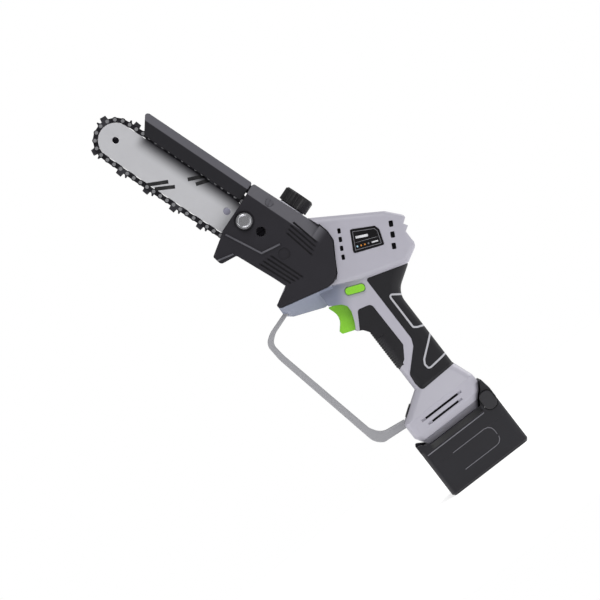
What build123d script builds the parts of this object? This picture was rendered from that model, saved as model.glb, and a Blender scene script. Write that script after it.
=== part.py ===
from build123d import *
import math
import os

# A one-hand cordless chainsaw, stood on its battery.
# +Z runs up the handle, -X is the front (trigger and bar), the chain cover faces -Y.
# The origin is the middle of the battery's base.

# ---------------------------------------------------------------- driving sizes, mm
# Bar frame: "along" runs from sprocket to nose, "across" points to the guard side.
BAR_TILT = 18.4
SPROCKET_X = -26.7
SPROCKET_Z = 234.8
BAR_Y = -13.0
BAR_THICK = 3.2
BAR_TAIL = 19.0
BAR_SLOT_ALONG = 40.7
BAR_OFFSET = 3.8
GROOVE_WIDTH = 1.3
GROOVE_DEPTH = 4.6

CHAIN_PITCH = 6.35
RIVET_COUNT = 66
SPROCKET_TEETH = 7
SPROCKET_RADIUS = 11.4
SPROCKET_ROOT = 8.2
SPROCKET_WIDTH = 5.6
NOSE_RIVET_RADIUS = 16.4
BELLY_RADIUS = 2600.0
RAIL_DROP = 2.4
LINK_THICK = 1.1
STRAP_THICK = 0.95
STRAP_RADIUS = 2.25
RIVET_RADIUS = 1.0
TANG_LENGTH = 5.6
CUTTER_HEIGHT = 5.2
CUTTER_PLATE = 0.7
SIDE_GAP = 0.05

MOTOR_TILT = 28.0
MOTOR_RADIUS = 17.0
MOTOR_START = 45.5
MOTOR_LENGTH = 36.5
FAN_RADIUS = 13.0
FAN_LENGTH = 5.0
MOTOR_SHAFT_RADIUS = 2.5
OUTPUT_SHAFT_RADIUS = 4.0
GEAR_TEETH = 24
PINION_TEETH = 8
GEAR_RADIUS = 15.0

HEAD_HALF = 20.5
HEAD_ROUND = 5.0
GRIP_HALF = 17.0
GRIP_CORNER = 9.0
GRIP_FRONT = -10.0
GRIP_REAR = 27.0
FOOT_HALF = 28.0
WALL = 2.5
GRIP_SKIN = 2.0
FLOOR_BEHIND_CHAIN = -9.0
COVER_FACE = -24.0
COVER_WALL = 2.5

BATTERY_HALF_X = 37.5
BATTERY_HALF_Y = 30.0
BATTERY_HEIGHT = 44.5
BATTERY_SPLIT = 28.0
BATTERY_WALL = 2.2
BATTERY_CORNER = 5.0
CELL_RADIUS = 9.0
CELL_LENGTH = 65.0
RAIL_HALF = 15.0
RAIL_NECK = 11.5
RAIL_TOP = 52.0
SLIDE_GAP = 0.5

TRIGGER_HALF = 8.0
TRIGGER_TRAVEL = 6.0
RUN_GAP = 0.3
FIT_GAP = 0.05

CAP_RADIUS = 12.5
CAP_HEIGHT = 11.3
CAP_RIBS = 28
NECK_RADIUS = 10.7
NECK_BORE = 8.0
CAP_ALONG = 16.0
CAP_ACROSS = 35.4

GUARD_INNER = 15.9
GUARD_OUTER = 32.6
GUARD_START = 52.7
GUARD_WALL = 2.0
BACK_WALL_INNER = 11.0
GUARD_HALF = 7.5
GUARD_ROOF = 3.6
HINGE_ALONG = 32.4
HINGE_ACROSS = 27.0
HINGE_PIN_RADIUS = 2.0

LOCK_LENGTH = 16.0
LOCK_WIDTH = 6.0
LOCK_TILT = -22.0
LOCK_X = 0.8
LOCK_Z = 178.0
SCREW_RADIUS = 1.5
SCREW_HEAD_RADIUS = 2.8

# ---------------------------------------------------------------- frames and helpers
ALONG = Vector(-math.sin(math.radians(BAR_TILT)), 0, math.cos(math.radians(BAR_TILT)))
ACROSS = Vector(math.cos(math.radians(BAR_TILT)), 0, math.sin(math.radians(BAR_TILT)))
MOTOR_AXIS = Vector(math.cos(math.radians(MOTOR_TILT)), 0, -math.sin(math.radians(MOTOR_TILT)))
SPROCKET_CENTRE = Vector(SPROCKET_X, 0, SPROCKET_Z)
RIGHT = Vector(0, 1, 0)


def bar_plane(y):
    """Plane facing +Y whose x runs along the bar and whose y runs across it."""
    return Plane(origin=(SPROCKET_X, y, SPROCKET_Z), x_dir=ALONG, z_dir=RIGHT)


def bar_point(along, across, y=0.0):
    return SPROCKET_CENTRE + ALONG * along + ACROSS * across + RIGHT * y


def motor_plane(distance):
    """Plane square to the motor's axis, at a distance from the output shaft."""
    return Plane(origin=SPROCKET_CENTRE + MOTOR_AXIS * distance, x_dir=RIGHT, z_dir=MOTOR_AXIS)


def outline(points, radii=0.0):
    """Closed outline; radii is one value or one per corner."""
    return make_face(FilletPolyline(*points, radius=radii, close=True))


def slab(points, y_low, y_high, radii=0.0):
    """Outline given in X and Z, as thick as from y_low to y_high."""
    plane = Plane(origin=(0, y_high, 0), x_dir=(1, 0, 0), z_dir=(0, -1, 0))
    return extrude(plane * outline(points, radii), amount=y_high - y_low)


def bar_slab(points, y_low, y_high, radii=0.0):
    """Outline given along and across the bar, as thick as from y_low to y_high."""
    return extrude(bar_plane(y_low) * outline(points, radii), amount=y_high - y_low)


def y_rod(centre, radius, y_low, y_high):
    """Round bar parallel to Y through a point given in X and Z."""
    plane = Plane(origin=(centre.X, y_low, centre.Z), x_dir=(1, 0, 0), z_dir=(0, 1, 0))
    return extrude(plane * Circle(radius), amount=y_high - y_low)


def motor_rod(radius, start, end, bore=0.0):
    """Round bar or tube on the motor's axis."""
    rod = extrude(motor_plane(start) * Circle(radius), amount=end - start)
    if bore:
        rod -= extrude(motor_plane(start) * Circle(bore), amount=end - start)
    return rod


def axis_rod(start, direction, radius, length, bore=0.0):
    """Round bar or tube from a point along a direction."""
    plane = Plane(origin=start, z_dir=direction)
    rod = extrude(plane * Circle(radius), amount=length)
    if bore:
        rod -= extrude(plane * Circle(bore), amount=length)
    return rod


def block(x_low, x_high, y_low, y_high, z_low, z_high):
    """Square block between limits."""
    size = (x_high - x_low, y_high - y_low, z_high - z_low)
    centre = ((x_high + x_low) / 2, (y_high + y_low) / 2, (z_high + z_low) / 2)
    return Pos(*centre) * Box(*size)


def coil(start, direction, radius, wire, length, turns):
    """Helical spring standing on a point."""
    path = Plane(origin=start, z_dir=direction) * Helix(length / turns, length, radius)
    section = Plane(origin=path @ 0, z_dir=path % 0) * Circle(wire)
    return sweep(section, path)


def rounded_section(x_low, x_high, half_width, corner, z):
    """Rounded rectangle lying flat at a height."""
    shape = RectangleRounded(x_high - x_low, 2 * half_width, corner)
    return Pos((x_low + x_high) / 2, 0, z) * shape


def save(node, shape):
    """Write one node's solids."""
    solids = shape if isinstance(shape, list) else [shape]
    pieces = [solid for item in solids for solid in item.solids()]
    export_step(pieces[0] if len(pieces) == 1 else Compound(pieces), f"parts/{node}.step")


os.makedirs("parts", exist_ok=True)

# ---------------------------------------------------------------- chain path
SPROCKET_PITCH_RADIUS = CHAIN_PITCH / (2 * math.sin(math.pi / (2 * SPROCKET_TEETH)))


def long_arc(nose_distance):
    """Big arc that rolls round both end circles on the inside: its centre and end angles."""
    first = BELLY_RADIUS - SPROCKET_PITCH_RADIUS
    second = BELLY_RADIUS - NOSE_RIVET_RADIUS
    along = (first**2 - second**2 + nose_distance**2) / (2 * nose_distance)
    across = -math.sqrt(first**2 - along**2)
    start = math.atan2(-across, -along)
    end = math.atan2(-across, nose_distance - along)
    return along, across, start, end


def path_length(nose_distance):
    """Length of the closed line that the rivets follow."""
    along, across, start, end = long_arc(nose_distance)
    tail_turn = 2 * (math.pi - start)
    nose_turn = 2 * end
    long_run = 2 * BELLY_RADIUS * (start - end)
    return SPROCKET_PITCH_RADIUS * tail_turn + NOSE_RIVET_RADIUS * nose_turn + long_run


def nose_distance_for(length):
    """Distance from sprocket to nose centre that takes up a chain of this length."""
    low, high = 0.3 * length, 0.5 * length
    for _ in range(60):
        middle = (low + high) / 2
        if path_length(middle) < length:
            low = middle
        else:
            high = middle
    return (low + high) / 2


CHAIN_LENGTH = CHAIN_PITCH * RIVET_COUNT * 1.0015
NOSE_ALONG = nose_distance_for(CHAIN_LENGTH)
BELLY_ALONG, BELLY_ACROSS, ARC_START, ARC_END = long_arc(NOSE_ALONG)


def chain_point(distance):
    """Point of the rivet line, from the front of the sprocket round the tail to the guard side."""
    tail = SPROCKET_PITCH_RADIUS * 2 * (math.pi - ARC_START)
    run = BELLY_RADIUS * (ARC_START - ARC_END)
    nose = NOSE_RIVET_RADIUS * 2 * ARC_END
    distance %= tail + 2 * run + nose
    if distance < tail:
        angle = ARC_START + (tail - distance) / SPROCKET_PITCH_RADIUS
        return SPROCKET_PITCH_RADIUS * math.cos(angle), SPROCKET_PITCH_RADIUS * math.sin(angle)
    distance -= tail
    if distance < run:
        angle = ARC_START - distance / BELLY_RADIUS
        return BELLY_ALONG + BELLY_RADIUS * math.cos(angle), BELLY_ACROSS + BELLY_RADIUS * math.sin(angle)
    distance -= run
    if distance < nose:
        angle = ARC_END - distance / NOSE_RIVET_RADIUS
        return NOSE_ALONG + NOSE_RIVET_RADIUS * math.cos(angle), NOSE_RIVET_RADIUS * math.sin(angle)
    angle = ARC_END + (distance - nose) / BELLY_RADIUS
    return BELLY_ALONG + BELLY_RADIUS * math.cos(angle), -BELLY_ACROSS - BELLY_RADIUS * math.sin(angle)


def loop_outline(offset, first_along):
    """Face inside the rivet line moved inwards by an offset, cut off square at the tail."""
    big = BELLY_RADIUS - offset
    nose = NOSE_RIVET_RADIUS - offset
    height = BELLY_ACROSS + math.sqrt(big**2 - (first_along - BELLY_ALONG) ** 2)
    upper_end = (NOSE_ALONG + nose * math.cos(ARC_END), nose * math.sin(ARC_END))
    middle = (first_along + NOSE_ALONG) / 2
    belly = BELLY_ACROSS + math.sqrt(big**2 - (middle - BELLY_ALONG) ** 2)
    upper = ThreePointArc((first_along, height), (middle, belly), upper_end)
    tip = ThreePointArc(upper_end, (NOSE_ALONG + nose, 0), (upper_end[0], -upper_end[1]))
    lower = ThreePointArc((upper_end[0], -upper_end[1]), (middle, -belly), (first_along, -height))
    tail = Line((first_along, -height), (first_along, height))
    return make_face([upper, tip, lower, tail])


# ---------------------------------------------------------------- guide bar
BAR_NEAR = BAR_Y - BAR_THICK / 2
BAR_FAR = BAR_Y + BAR_THICK / 2
STUD_RADIUS = 4.0
BAR_SLOT_LENGTH = 26.0
OIL_HOLE_ALONG = 56.7
NOSE_HOLE_RADIUS = 2.8


def make_guide_bar():
    bar = extrude(bar_plane(BAR_NEAR) * loop_outline(RAIL_DROP, BAR_TAIL), amount=BAR_THICK)
    groove_low = BAR_Y - GROOVE_WIDTH / 2
    core = loop_outline(RAIL_DROP + GROOVE_DEPTH, BAR_TAIL + GROOVE_DEPTH)
    groove = extrude(bar_plane(groove_low) * loop_outline(RAIL_DROP - 1, BAR_TAIL - 1), amount=GROOVE_WIDTH)
    groove -= extrude(bar_plane(groove_low) * core, amount=GROOVE_WIDTH)
    bar -= groove
    slot = Pos(BAR_SLOT_ALONG - 6, BAR_OFFSET) * SlotOverall(BAR_SLOT_LENGTH, 2 * STUD_RADIUS + 0.4)
    bar -= extrude(bar_plane(BAR_NEAR) * slot, amount=BAR_THICK)
    bar -= y_rod(bar_point(OIL_HOLE_ALONG, 2.7), 3.0, BAR_NEAR, BAR_FAR)
    bar -= y_rod(bar_point(NOSE_ALONG, 0), NOSE_HOLE_RADIUS, BAR_NEAR, BAR_FAR)
    return bar


save("guide_bar", make_guide_bar())

# ---------------------------------------------------------------- chain


def link_frame(index, y):
    """Plane on one link: x runs to the next rivet, y points away from the bar."""
    step = CHAIN_LENGTH / RIVET_COUNT
    first = bar_point(*chain_point(index * step), y)
    second = bar_point(*chain_point((index + 1) * step), y)
    return Plane(origin=(first + second) / 2, x_dir=(second - first).normalized(), z_dir=RIGHT)


def strap_outline():
    """Tie strap seen from the side: two round ends and a slightly waisted middle."""
    ends = Pos(-CHAIN_PITCH / 2, 0) * Circle(STRAP_RADIUS) + Pos(CHAIN_PITCH / 2, 0) * Circle(STRAP_RADIUS)
    return ends + Rectangle(CHAIN_PITCH, 1.7 * STRAP_RADIUS) - rivet_holes(RIVET_RADIUS + SIDE_GAP)


def rivet_holes(radius):
    return Pos(-CHAIN_PITCH / 2, 0) * Circle(radius) + Pos(CHAIN_PITCH / 2, 0) * Circle(radius)


def drive_outline():
    """Drive link: a strap body with a pointed tang that runs in the bar's groove."""
    tang = outline([(-3.4, 0), (3.6, 0), (2.2, -3.6), (-0.6, -TANG_LENGTH), (-2.6, -3.4)], 0.3)
    ends = Pos(-CHAIN_PITCH / 2, 0) * Circle(STRAP_RADIUS) + Pos(CHAIN_PITCH / 2, 0) * Circle(STRAP_RADIUS)
    body = ends + Rectangle(CHAIN_PITCH, 1.6 * STRAP_RADIUS) + tang
    return body - rivet_holes(RIVET_RADIUS + SIDE_GAP)


def cutter_outline():
    """Side plate of a cutter: the strap with a depth gauge and a raised tooth."""
    top = CUTTER_HEIGHT
    gauge = [(4.6, 1.2), (4.6, 3.6), (3.6, 4.0), (2.2, 1.9), (0.9, 1.8)]
    body = gauge + [(0.3, top), (-4.6, top - 0.5), (-4.9, 1.0)]
    return strap_outline() + (outline(body, 0.25) - rivet_holes(RIVET_RADIUS + SIDE_GAP))


STRAP_LEFT = BAR_Y - LINK_THICK / 2 - SIDE_GAP - STRAP_THICK
STRAP_RIGHT = BAR_Y + LINK_THICK / 2 + SIDE_GAP


def make_cutter(index, left):
    """Cutter with its top plate bent over towards the bar's middle."""
    base = STRAP_LEFT if left else STRAP_RIGHT
    side = extrude(link_frame(index, base) * cutter_outline(), amount=STRAP_THICK)
    plane = link_frame(index, BAR_Y)
    turn = -1 if left else 1
    outer = turn * (BAR_Y - STRAP_LEFT)
    corners = [(0.3, outer), (-4.6, outer), (-4.2, outer - turn * 2.6), (-0.1, outer - turn * 3.0)]
    top_origin = plane.origin + plane.y_dir * (CUTTER_HEIGHT - 1.2)
    top = Plane(origin=top_origin, x_dir=plane.x_dir, z_dir=plane.y_dir)
    plate = extrude(top * outline([(x, -y) for x, y in corners]), amount=CUTTER_PLATE)
    return side + plate


def wrapped(solid):
    """Drive link with its tang cut back to clear the sprocket where it wraps it."""
    return solid - y_rod(bar_point(0, 0), SPROCKET_RADIUS + RUN_GAP, BAR_Y - LINK_THICK, BAR_Y + LINK_THICK)


def make_chain():
    drives, straps, left_cutters, right_cutters, rivets = [], [], [], [], []
    drive_face = drive_outline()
    strap_face = strap_outline()
    half_rivet = LINK_THICK / 2 + SIDE_GAP + STRAP_THICK
    for index in range(RIVET_COUNT):
        step = CHAIN_LENGTH / RIVET_COUNT
        centre = bar_point(*chain_point(index * step))
        rivet = y_rod(centre, RIVET_RADIUS, BAR_Y - half_rivet, BAR_Y + half_rivet)
        rivet += y_rod(centre, RIVET_RADIUS * 1.45, BAR_Y - half_rivet - 0.35, BAR_Y - half_rivet)
        rivet += y_rod(centre, RIVET_RADIUS * 1.45, BAR_Y + half_rivet, BAR_Y + half_rivet + 0.35)
        rivets.append(rivet)
        if index % 2 == 0:
            link = extrude(link_frame(index, BAR_Y - LINK_THICK / 2) * drive_face, amount=LINK_THICK)
            near_sprocket = chain_point(index * step)[0] < 2 * SPROCKET_RADIUS
            drives.append(wrapped(link) if near_sprocket else link)
            continue
        is_left = index % 8 == 3
        is_right = index % 8 == 7
        if is_left:
            left_cutters.append(make_cutter(index, True))
        else:
            straps.append(extrude(link_frame(index, STRAP_LEFT) * strap_face, amount=STRAP_THICK))
        if is_right:
            right_cutters.append(make_cutter(index, False))
        else:
            straps.append(extrude(link_frame(index, STRAP_RIGHT) * strap_face, amount=STRAP_THICK))
    return drives, straps, left_cutters, right_cutters, rivets


chain_groups = make_chain()
for chain_node, chain_group in zip(
    ("drive_links", "tie_straps", "left_cutters", "right_cutters", "chain_rivets"), chain_groups
):
    save(chain_node, chain_group)

# ---------------------------------------------------------------- drive train
GEAR_ANGLE = math.atan(GEAR_TEETH / PINION_TEETH)
MODULE = 2 * GEAR_RADIUS / GEAR_TEETH
CONE_LENGTH = GEAR_RADIUS / math.sin(GEAR_ANGLE)
PINION_AT = GEAR_RADIUS
GEAR_AT = GEAR_RADIUS / math.tan(GEAR_ANGLE)
GEAR_BACK = GEAR_AT + 3.2
GEAR_FRONT = 3.2
ADDENDUM = math.atan(0.75 * MODULE / CONE_LENGTH)
DEDENDUM = math.atan(1.1 * MODULE / CONE_LENGTH)
SHAFT_LOW = -18.2
SHAFT_HIGH = 14.0
CLIP_LOW = -17.2
CLIP_HIGH = -16.4
GEAR_CASE_RADIUS = 18.2
GEAR_CASE_BORE = 16.4
GEAR_CASE_FRONT = -6.5
GEAR_CASE_BACK = 9.0
GEAR_COVER_THICK = 5.5
BEARING_RADIUS = 8.0
BEARING_WIDTH = 5.0
CASE_NOSE_RADIUS = BEARING_RADIUS + 1.5
SNOUT_RADIUS = 8.2
SNOUT_BORE = 6.8
SNOUT_BEARING = 24.0
FLANGE_START = 43.0
PINION_TIP = 1.6
MOTOR_END = MOTOR_START + MOTOR_LENGTH
END_CAP_LENGTH = 3.0
FAN_START = 87.0


def tooth_star(teeth, root, tip, root_share, tip_share, phase):
    """Star outline with straight flanks; a share is a part of half the tooth pitch."""
    half = math.pi / teeth
    corners = []
    for tooth in range(teeth):
        middle = phase + 2 * half * tooth
        for radius, offset in ((root, -root_share), (tip, -tip_share), (tip, tip_share), (root, root_share)):
            angle = middle + offset * half
            corners.append((radius * math.cos(angle), radius * math.sin(angle)))
    return outline(corners)


def bevel_teeth(axis, across, teeth, pitch_angle, near, far, phase):
    """Straight bevel teeth: every flank runs to the point where the two shafts' axes cross."""
    stars = []
    for distance in (near, far):
        root = distance * math.tan(pitch_angle - DEDENDUM)
        tip = distance * math.tan(pitch_angle + ADDENDUM)
        plane = Plane(origin=SPROCKET_CENTRE + axis * distance, x_dir=across, z_dir=axis)
        stars.append(plane * tooth_star(teeth, root, tip, 0.66, 0.24, phase))
    return loft(stars, ruled=True)


def make_bevel_gear():
    """Crown-like gear on the output shaft, facing the motor's side."""
    teeth = bevel_teeth(RIGHT, MOTOR_AXIS, GEAR_TEETH, GEAR_ANGLE, 2.0, GEAR_BACK, math.pi / GEAR_TEETH)
    gear = teeth & y_rod(SPROCKET_CENTRE, GEAR_RADIUS + 0.6, GEAR_FRONT, GEAR_BACK)
    gear += y_rod(SPROCKET_CENTRE, 6.5, GEAR_FRONT, GEAR_CASE_BACK - 0.4)
    return gear - y_rod(SPROCKET_CENTRE, OUTPUT_SHAFT_RADIUS + FIT_GAP, -1, GEAR_CASE_BACK)


def make_pinion():
    """Small bevel gear on the end of the motor's shaft."""
    pitch_angle = math.pi / 2 - GEAR_ANGLE
    teeth = bevel_teeth(MOTOR_AXIS, RIGHT, PINION_TEETH, pitch_angle, PINION_AT - 3.8, PINION_AT + 0.3, 0)
    hub = motor_rod(4.0, PINION_AT + 0.3, PINION_AT + 3.5)
    return teeth + hub - motor_rod(PINION_TIP + FIT_GAP, PINION_AT - 4, PINION_AT + 3.6)


def make_output_shaft():
    shaft = y_rod(SPROCKET_CENTRE, OUTPUT_SHAFT_RADIUS, SHAFT_LOW, SHAFT_HIGH)
    groove = y_rod(SPROCKET_CENTRE, 5, CLIP_LOW, CLIP_HIGH) - y_rod(SPROCKET_CENTRE, 3, CLIP_LOW, CLIP_HIGH)
    return shaft - groove


def make_sprocket():
    """Spur sprocket whose gullets take the tangs of the drive links."""
    first = BAR_Y - SPROCKET_WIDTH / 2
    plane = bar_plane(first)
    star = tooth_star(SPROCKET_TEETH, SPROCKET_ROOT, SPROCKET_RADIUS, 0.62, 0.42, 0.2)
    sprocket = extrude(plane * star, amount=SPROCKET_WIDTH)
    return sprocket - y_rod(SPROCKET_CENTRE, OUTPUT_SHAFT_RADIUS + FIT_GAP, first, first + SPROCKET_WIDTH)



def make_shaft_clip():
    clip = y_rod(SPROCKET_CENTRE, 6, CLIP_LOW + FIT_GAP, CLIP_HIGH - FIT_GAP)
    clip -= y_rod(SPROCKET_CENTRE, 3 + FIT_GAP, CLIP_LOW, CLIP_HIGH)
    return clip - bar_slab([(0, -2.4), (8, -2.4), (8, 2.4), (0, 2.4)], CLIP_LOW, CLIP_HIGH)


def make_output_bearings():
    starts = (GEAR_CASE_FRONT - 2.3, GEAR_CASE_BACK)
    rings = []
    for start in starts:
        end = start + BEARING_WIDTH
        ring = y_rod(SPROCKET_CENTRE, BEARING_RADIUS, start, end)
        rings.append(ring - y_rod(SPROCKET_CENTRE, OUTPUT_SHAFT_RADIUS + FIT_GAP, start, end))
    return rings


def make_gear_case():
    """Cup round the gears with a snout that carries the motor."""
    case = y_rod(SPROCKET_CENTRE, GEAR_CASE_RADIUS, GEAR_CASE_FRONT, GEAR_CASE_BACK)
    case += y_rod(SPROCKET_CENTRE, CASE_NOSE_RADIUS, GEAR_CASE_FRONT - 2.4, GEAR_CASE_FRONT)
    case += motor_rod(SNOUT_RADIUS, 10, FLANGE_START) & block(-100, 100, -20, GEAR_CASE_BACK, 0, 400)
    case += motor_rod(MOTOR_RADIUS, FLANGE_START, MOTOR_START)
    case -= y_rod(SPROCKET_CENTRE, GEAR_CASE_BORE, GEAR_CASE_FRONT + 3, GEAR_CASE_BACK)
    case -= y_rod(SPROCKET_CENTRE, BEARING_RADIUS + FIT_GAP, GEAR_CASE_FRONT - 2.4, GEAR_CASE_FRONT + 3)
    case -= motor_rod(SNOUT_BORE, 8, SNOUT_BEARING + BEARING_WIDTH)
    return case - motor_rod(MOTOR_SHAFT_RADIUS + 0.8, SNOUT_BEARING, MOTOR_START)



def make_gear_cover():
    """Plate that closes the gear case and holds the second bearing."""
    top = GEAR_CASE_BACK + GEAR_COVER_THICK
    cover = y_rod(SPROCKET_CENTRE, GEAR_CASE_RADIUS, GEAR_CASE_BACK, top)
    cover -= y_rod(SPROCKET_CENTRE, BEARING_RADIUS + FIT_GAP, GEAR_CASE_BACK, GEAR_CASE_BACK + BEARING_WIDTH)
    for turn in range(4):
        cover -= y_rod(case_screw_point(turn), SCREW_RADIUS + FIT_GAP, GEAR_CASE_BACK, top)
    return cover


def case_screw_point(turn):
    angle = math.radians(45 + 90 * turn)
    radius = (GEAR_CASE_BORE + GEAR_CASE_RADIUS) / 2 - 4.0
    return bar_point(radius * math.cos(angle), radius * math.sin(angle))


save("bevel_gear", make_bevel_gear())
save("pinion", make_pinion())
save("output_shaft", make_output_shaft())
save("sprocket", make_sprocket())
save("shaft_clip", make_shaft_clip())
save("output_bearings", make_output_bearings())
save("gear_case", make_gear_case())
save("gear_case_cover", make_gear_cover())

# ---------------------------------------------------------------- motor
CAN_WALL = 1.5
ROTOR_RADIUS = 11.0
ROTOR_START = MOTOR_START + 6.0
ROTOR_LENGTH = 21.5
MAGNET_GAP = 0.6


def make_motor_can():
    can = motor_rod(MOTOR_RADIUS, MOTOR_START, MOTOR_END)
    can -= motor_rod(MOTOR_RADIUS - CAN_WALL, MOTOR_START + CAN_WALL, MOTOR_END)
    return can - motor_rod(MOTOR_SHAFT_RADIUS + 1, MOTOR_START, MOTOR_START + CAN_WALL)


def make_magnets():
    """Two curved magnets held against the inside of the can."""
    start = ROTOR_START - 1
    outer = MOTOR_RADIUS - CAN_WALL - FIT_GAP
    ring = motor_rod(outer, start, start + ROTOR_LENGTH + 2, ROTOR_RADIUS + MAGNET_GAP)
    plane = motor_plane(start)
    gap = extrude(plane * Rectangle(2 * MOTOR_RADIUS, 0.55 * MOTOR_RADIUS), amount=ROTOR_LENGTH + 2)
    return ring - gap


def make_rotor():
    """Slotted iron core."""
    core = motor_rod(ROTOR_RADIUS, ROTOR_START, ROTOR_START + ROTOR_LENGTH, MOTOR_SHAFT_RADIUS + FIT_GAP)
    slots = Sketch() + PolarLocations(ROTOR_RADIUS - 1.5, 5) * Rectangle(4.0, 1.4)
    return core - extrude(motor_plane(ROTOR_START) * slots, amount=ROTOR_LENGTH)


def make_windings():
    """Copper end turns on both ends of the core, with the commutator behind."""
    front = motor_rod(ROTOR_RADIUS - 1.5, ROTOR_START - 3, ROTOR_START, MOTOR_SHAFT_RADIUS + FIT_GAP)
    back_start = ROTOR_START + ROTOR_LENGTH
    back = motor_rod(ROTOR_RADIUS - 1.5, back_start, back_start + 3, MOTOR_SHAFT_RADIUS + FIT_GAP)
    return [front, back + motor_rod(5.0, back_start + 3, MOTOR_END - 2, MOTOR_SHAFT_RADIUS + FIT_GAP)]


def make_motor_shaft():
    shaft = motor_rod(MOTOR_SHAFT_RADIUS, PINION_AT + 3.6, FAN_START + FAN_LENGTH + 1)
    return shaft + motor_rod(PINION_TIP, PINION_AT - 3.8, PINION_AT + 3.6)


def make_motor_bearings():
    bore = MOTOR_SHAFT_RADIUS + FIT_GAP
    front = motor_rod(SNOUT_BORE - FIT_GAP, SNOUT_BEARING, SNOUT_BEARING + BEARING_WIDTH, bore)
    rear = motor_rod(6.0, MOTOR_END - 1, MOTOR_END + END_CAP_LENGTH - 0.5, bore)
    return [front, rear]


def make_end_cap():
    end = MOTOR_END + END_CAP_LENGTH
    cap = motor_rod(MOTOR_RADIUS, MOTOR_END, end)
    cap += motor_rod(7.5, MOTOR_END - 1, MOTOR_END)
    cap -= motor_rod(6.0 + FIT_GAP, MOTOR_END - 1, end)
    return cap + motor_rod(6.5, end - 0.5, end, MOTOR_SHAFT_RADIUS + 0.4)


def make_fan():
    """Hub and radial blades that draw air over the motor."""
    fan = motor_rod(5.0, FAN_START, FAN_START + FAN_LENGTH)
    fan += motor_rod(FAN_RADIUS, FAN_START, FAN_START + 1)
    blades = Sketch() + PolarLocations(4 + (FAN_RADIUS - 4) / 2, 9) * Rectangle(FAN_RADIUS - 4.2, 0.9)
    fan += extrude(motor_plane(FAN_START) * blades, amount=FAN_LENGTH)
    return fan - motor_rod(MOTOR_SHAFT_RADIUS + FIT_GAP, FAN_START, FAN_START + FAN_LENGTH)


save("motor_can", make_motor_can())
save("motor_magnets", make_magnets())
save("rotor_core", make_rotor())
save("rotor_windings", make_windings())
save("motor_shaft", make_motor_shaft())
save("motor_bearings", make_motor_bearings())
save("motor_end_cap", make_end_cap())
save("cooling_fan", make_fan())

# ---------------------------------------------------------------- housing shape
COVER_OUTLINE = [
    (-59.2, 275.4), (-54, 279), (-30, 287), (-12, 294), (-10.5, 290), (5, 247), (9, 236), (11, 228),
    (10.5, 220), (-3, 197), (-9, 193), (-15, 192.6), (-54, 202), (-56.5, 204), (-56, 206), (-41, 212.5),
    (-41.5, 215.5), (-57.5, 256.4), (-71.4, 258.6), (-72.8, 267),
]
COVER_RADII = [1, 3, 0, 2, 5, 0, 6, 8, 6, 14, 5, 5, 0, 1.2, 1, 2.5, 2.5, 2, 3, 1.5]
HEAD_OUTLINE = [
    (-56.3, 203.4), (-14, 192.7), (13, 180), (47.5, 169), (60, 176), (64.5, 190), (68, 201), (57.5, 213),
    (10, 243), (3.3, 247.2), (-12.4, 291.7), (-30, 285.6), (-53.5, 277.6), (-56, 256.5), (-41.4, 214),
    (-55, 206.5),
]
HEAD_RADII = [0, 0, 0, 3, 5, 30, 4, 9, 0, 0, 0, 0, 0, 0, 0, 0]
NECK_OUTLINE = [
    (-24, 180), (-15, 175), (-12, 171), (-12, 166), (-15, 158), (-19, 151), (-14, 148.5), (-10, 143),
    (-10, 136), (27, 136), (27, 155), (46.5, 168), (49, 174), (13, 186), (-24, 196),
]
NECK_RADII = [0, 2, 2, 3, 3, 1.2, 3, 6, 0, 0, 16, 0, 0, 0, 0]
GRIP_BOTTOM = 85.0


def neck_part(inset):
    """Upper handle between the head and the straight grip."""
    half = GRIP_HALF - inset
    plane = Plane(origin=(0, half, 0), x_dir=(1, 0, 0), z_dir=(0, -1, 0))
    face = outline(NECK_OUTLINE, NECK_RADII)
    if inset:
        face = offset(face, -inset)
    body = extrude(plane * face, amount=2 * half)
    rear = [edge for edge in body.edges() if abs(abs(edge.center().Y) - half) < 0.01 and is_neck_rear(edge)]
    return fillet(rear, GRIP_CORNER - inset)


def is_neck_rear(edge):
    """True for the long rear edges of the neck."""
    centre = edge.center()
    return centre.X > 24 and centre.Z < 168


def grip_part(inset):
    """Straight grip and the flare into the foot."""
    stations = [
        (-34, 33.3, FOOT_HALF, 7, 68),
        (GRIP_FRONT, GRIP_REAR, GRIP_HALF, GRIP_CORNER, GRIP_BOTTOM),
        (GRIP_FRONT, GRIP_REAR, GRIP_HALF, GRIP_CORNER, 140),
    ]
    sections = [
        rounded_section(low + inset, high - inset, half - inset, corner - inset, z)
        for low, high, half, corner, z in stations
    ]
    return loft(sections, ruled=True)


def foot_part():
    """Battery shoe: a narrow band low down, then a wide block."""
    narrow = [rounded_section(-27, 22, 21.3, 4, BATTERY_HEIGHT + 0.2), rounded_section(-31, 25, 21.3, 4, 50)]
    band = loft(narrow, ruled=True)
    wide = [
        rounded_section(-31, 25, FOOT_HALF - 1.5, 5, 50),
        rounded_section(-34, 30, FOOT_HALF, 7, 55),
        rounded_section(-34, 33.5, FOOT_HALF, 7, 61),
        rounded_section(-34, 33.3, FOOT_HALF, 7, 68),
    ]
    return band + loft(wide, ruled=True)


def nose_part():
    """Wedge under the chain cover: its underside slopes up towards both sides."""
    middle = [(-56.3, 203.5), (-56.6, 195), (-51, 190.5), (-24, 180), (-12, 176), (-12, 193)]
    side = [(-56.3, 203.5), (-56.3, 203.0), (-51, 201.6), (-24, 194.9), (-12, 192.2), (-12, 193)]
    wedge = []
    for turn in (-1, 1):
        sections = [xz_face(middle, 0), xz_face(side, turn * HEAD_HALF)]
        wedge.append(loft(sections, ruled=True))
    return wedge[0] + wedge[1]


def xz_face(points, y):
    """Outline in X and Z standing at one Y."""
    return Plane(origin=(0, y, 0), x_dir=(1, 0, 0), z_dir=(0, -1, 0)) * outline(points)


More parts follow.
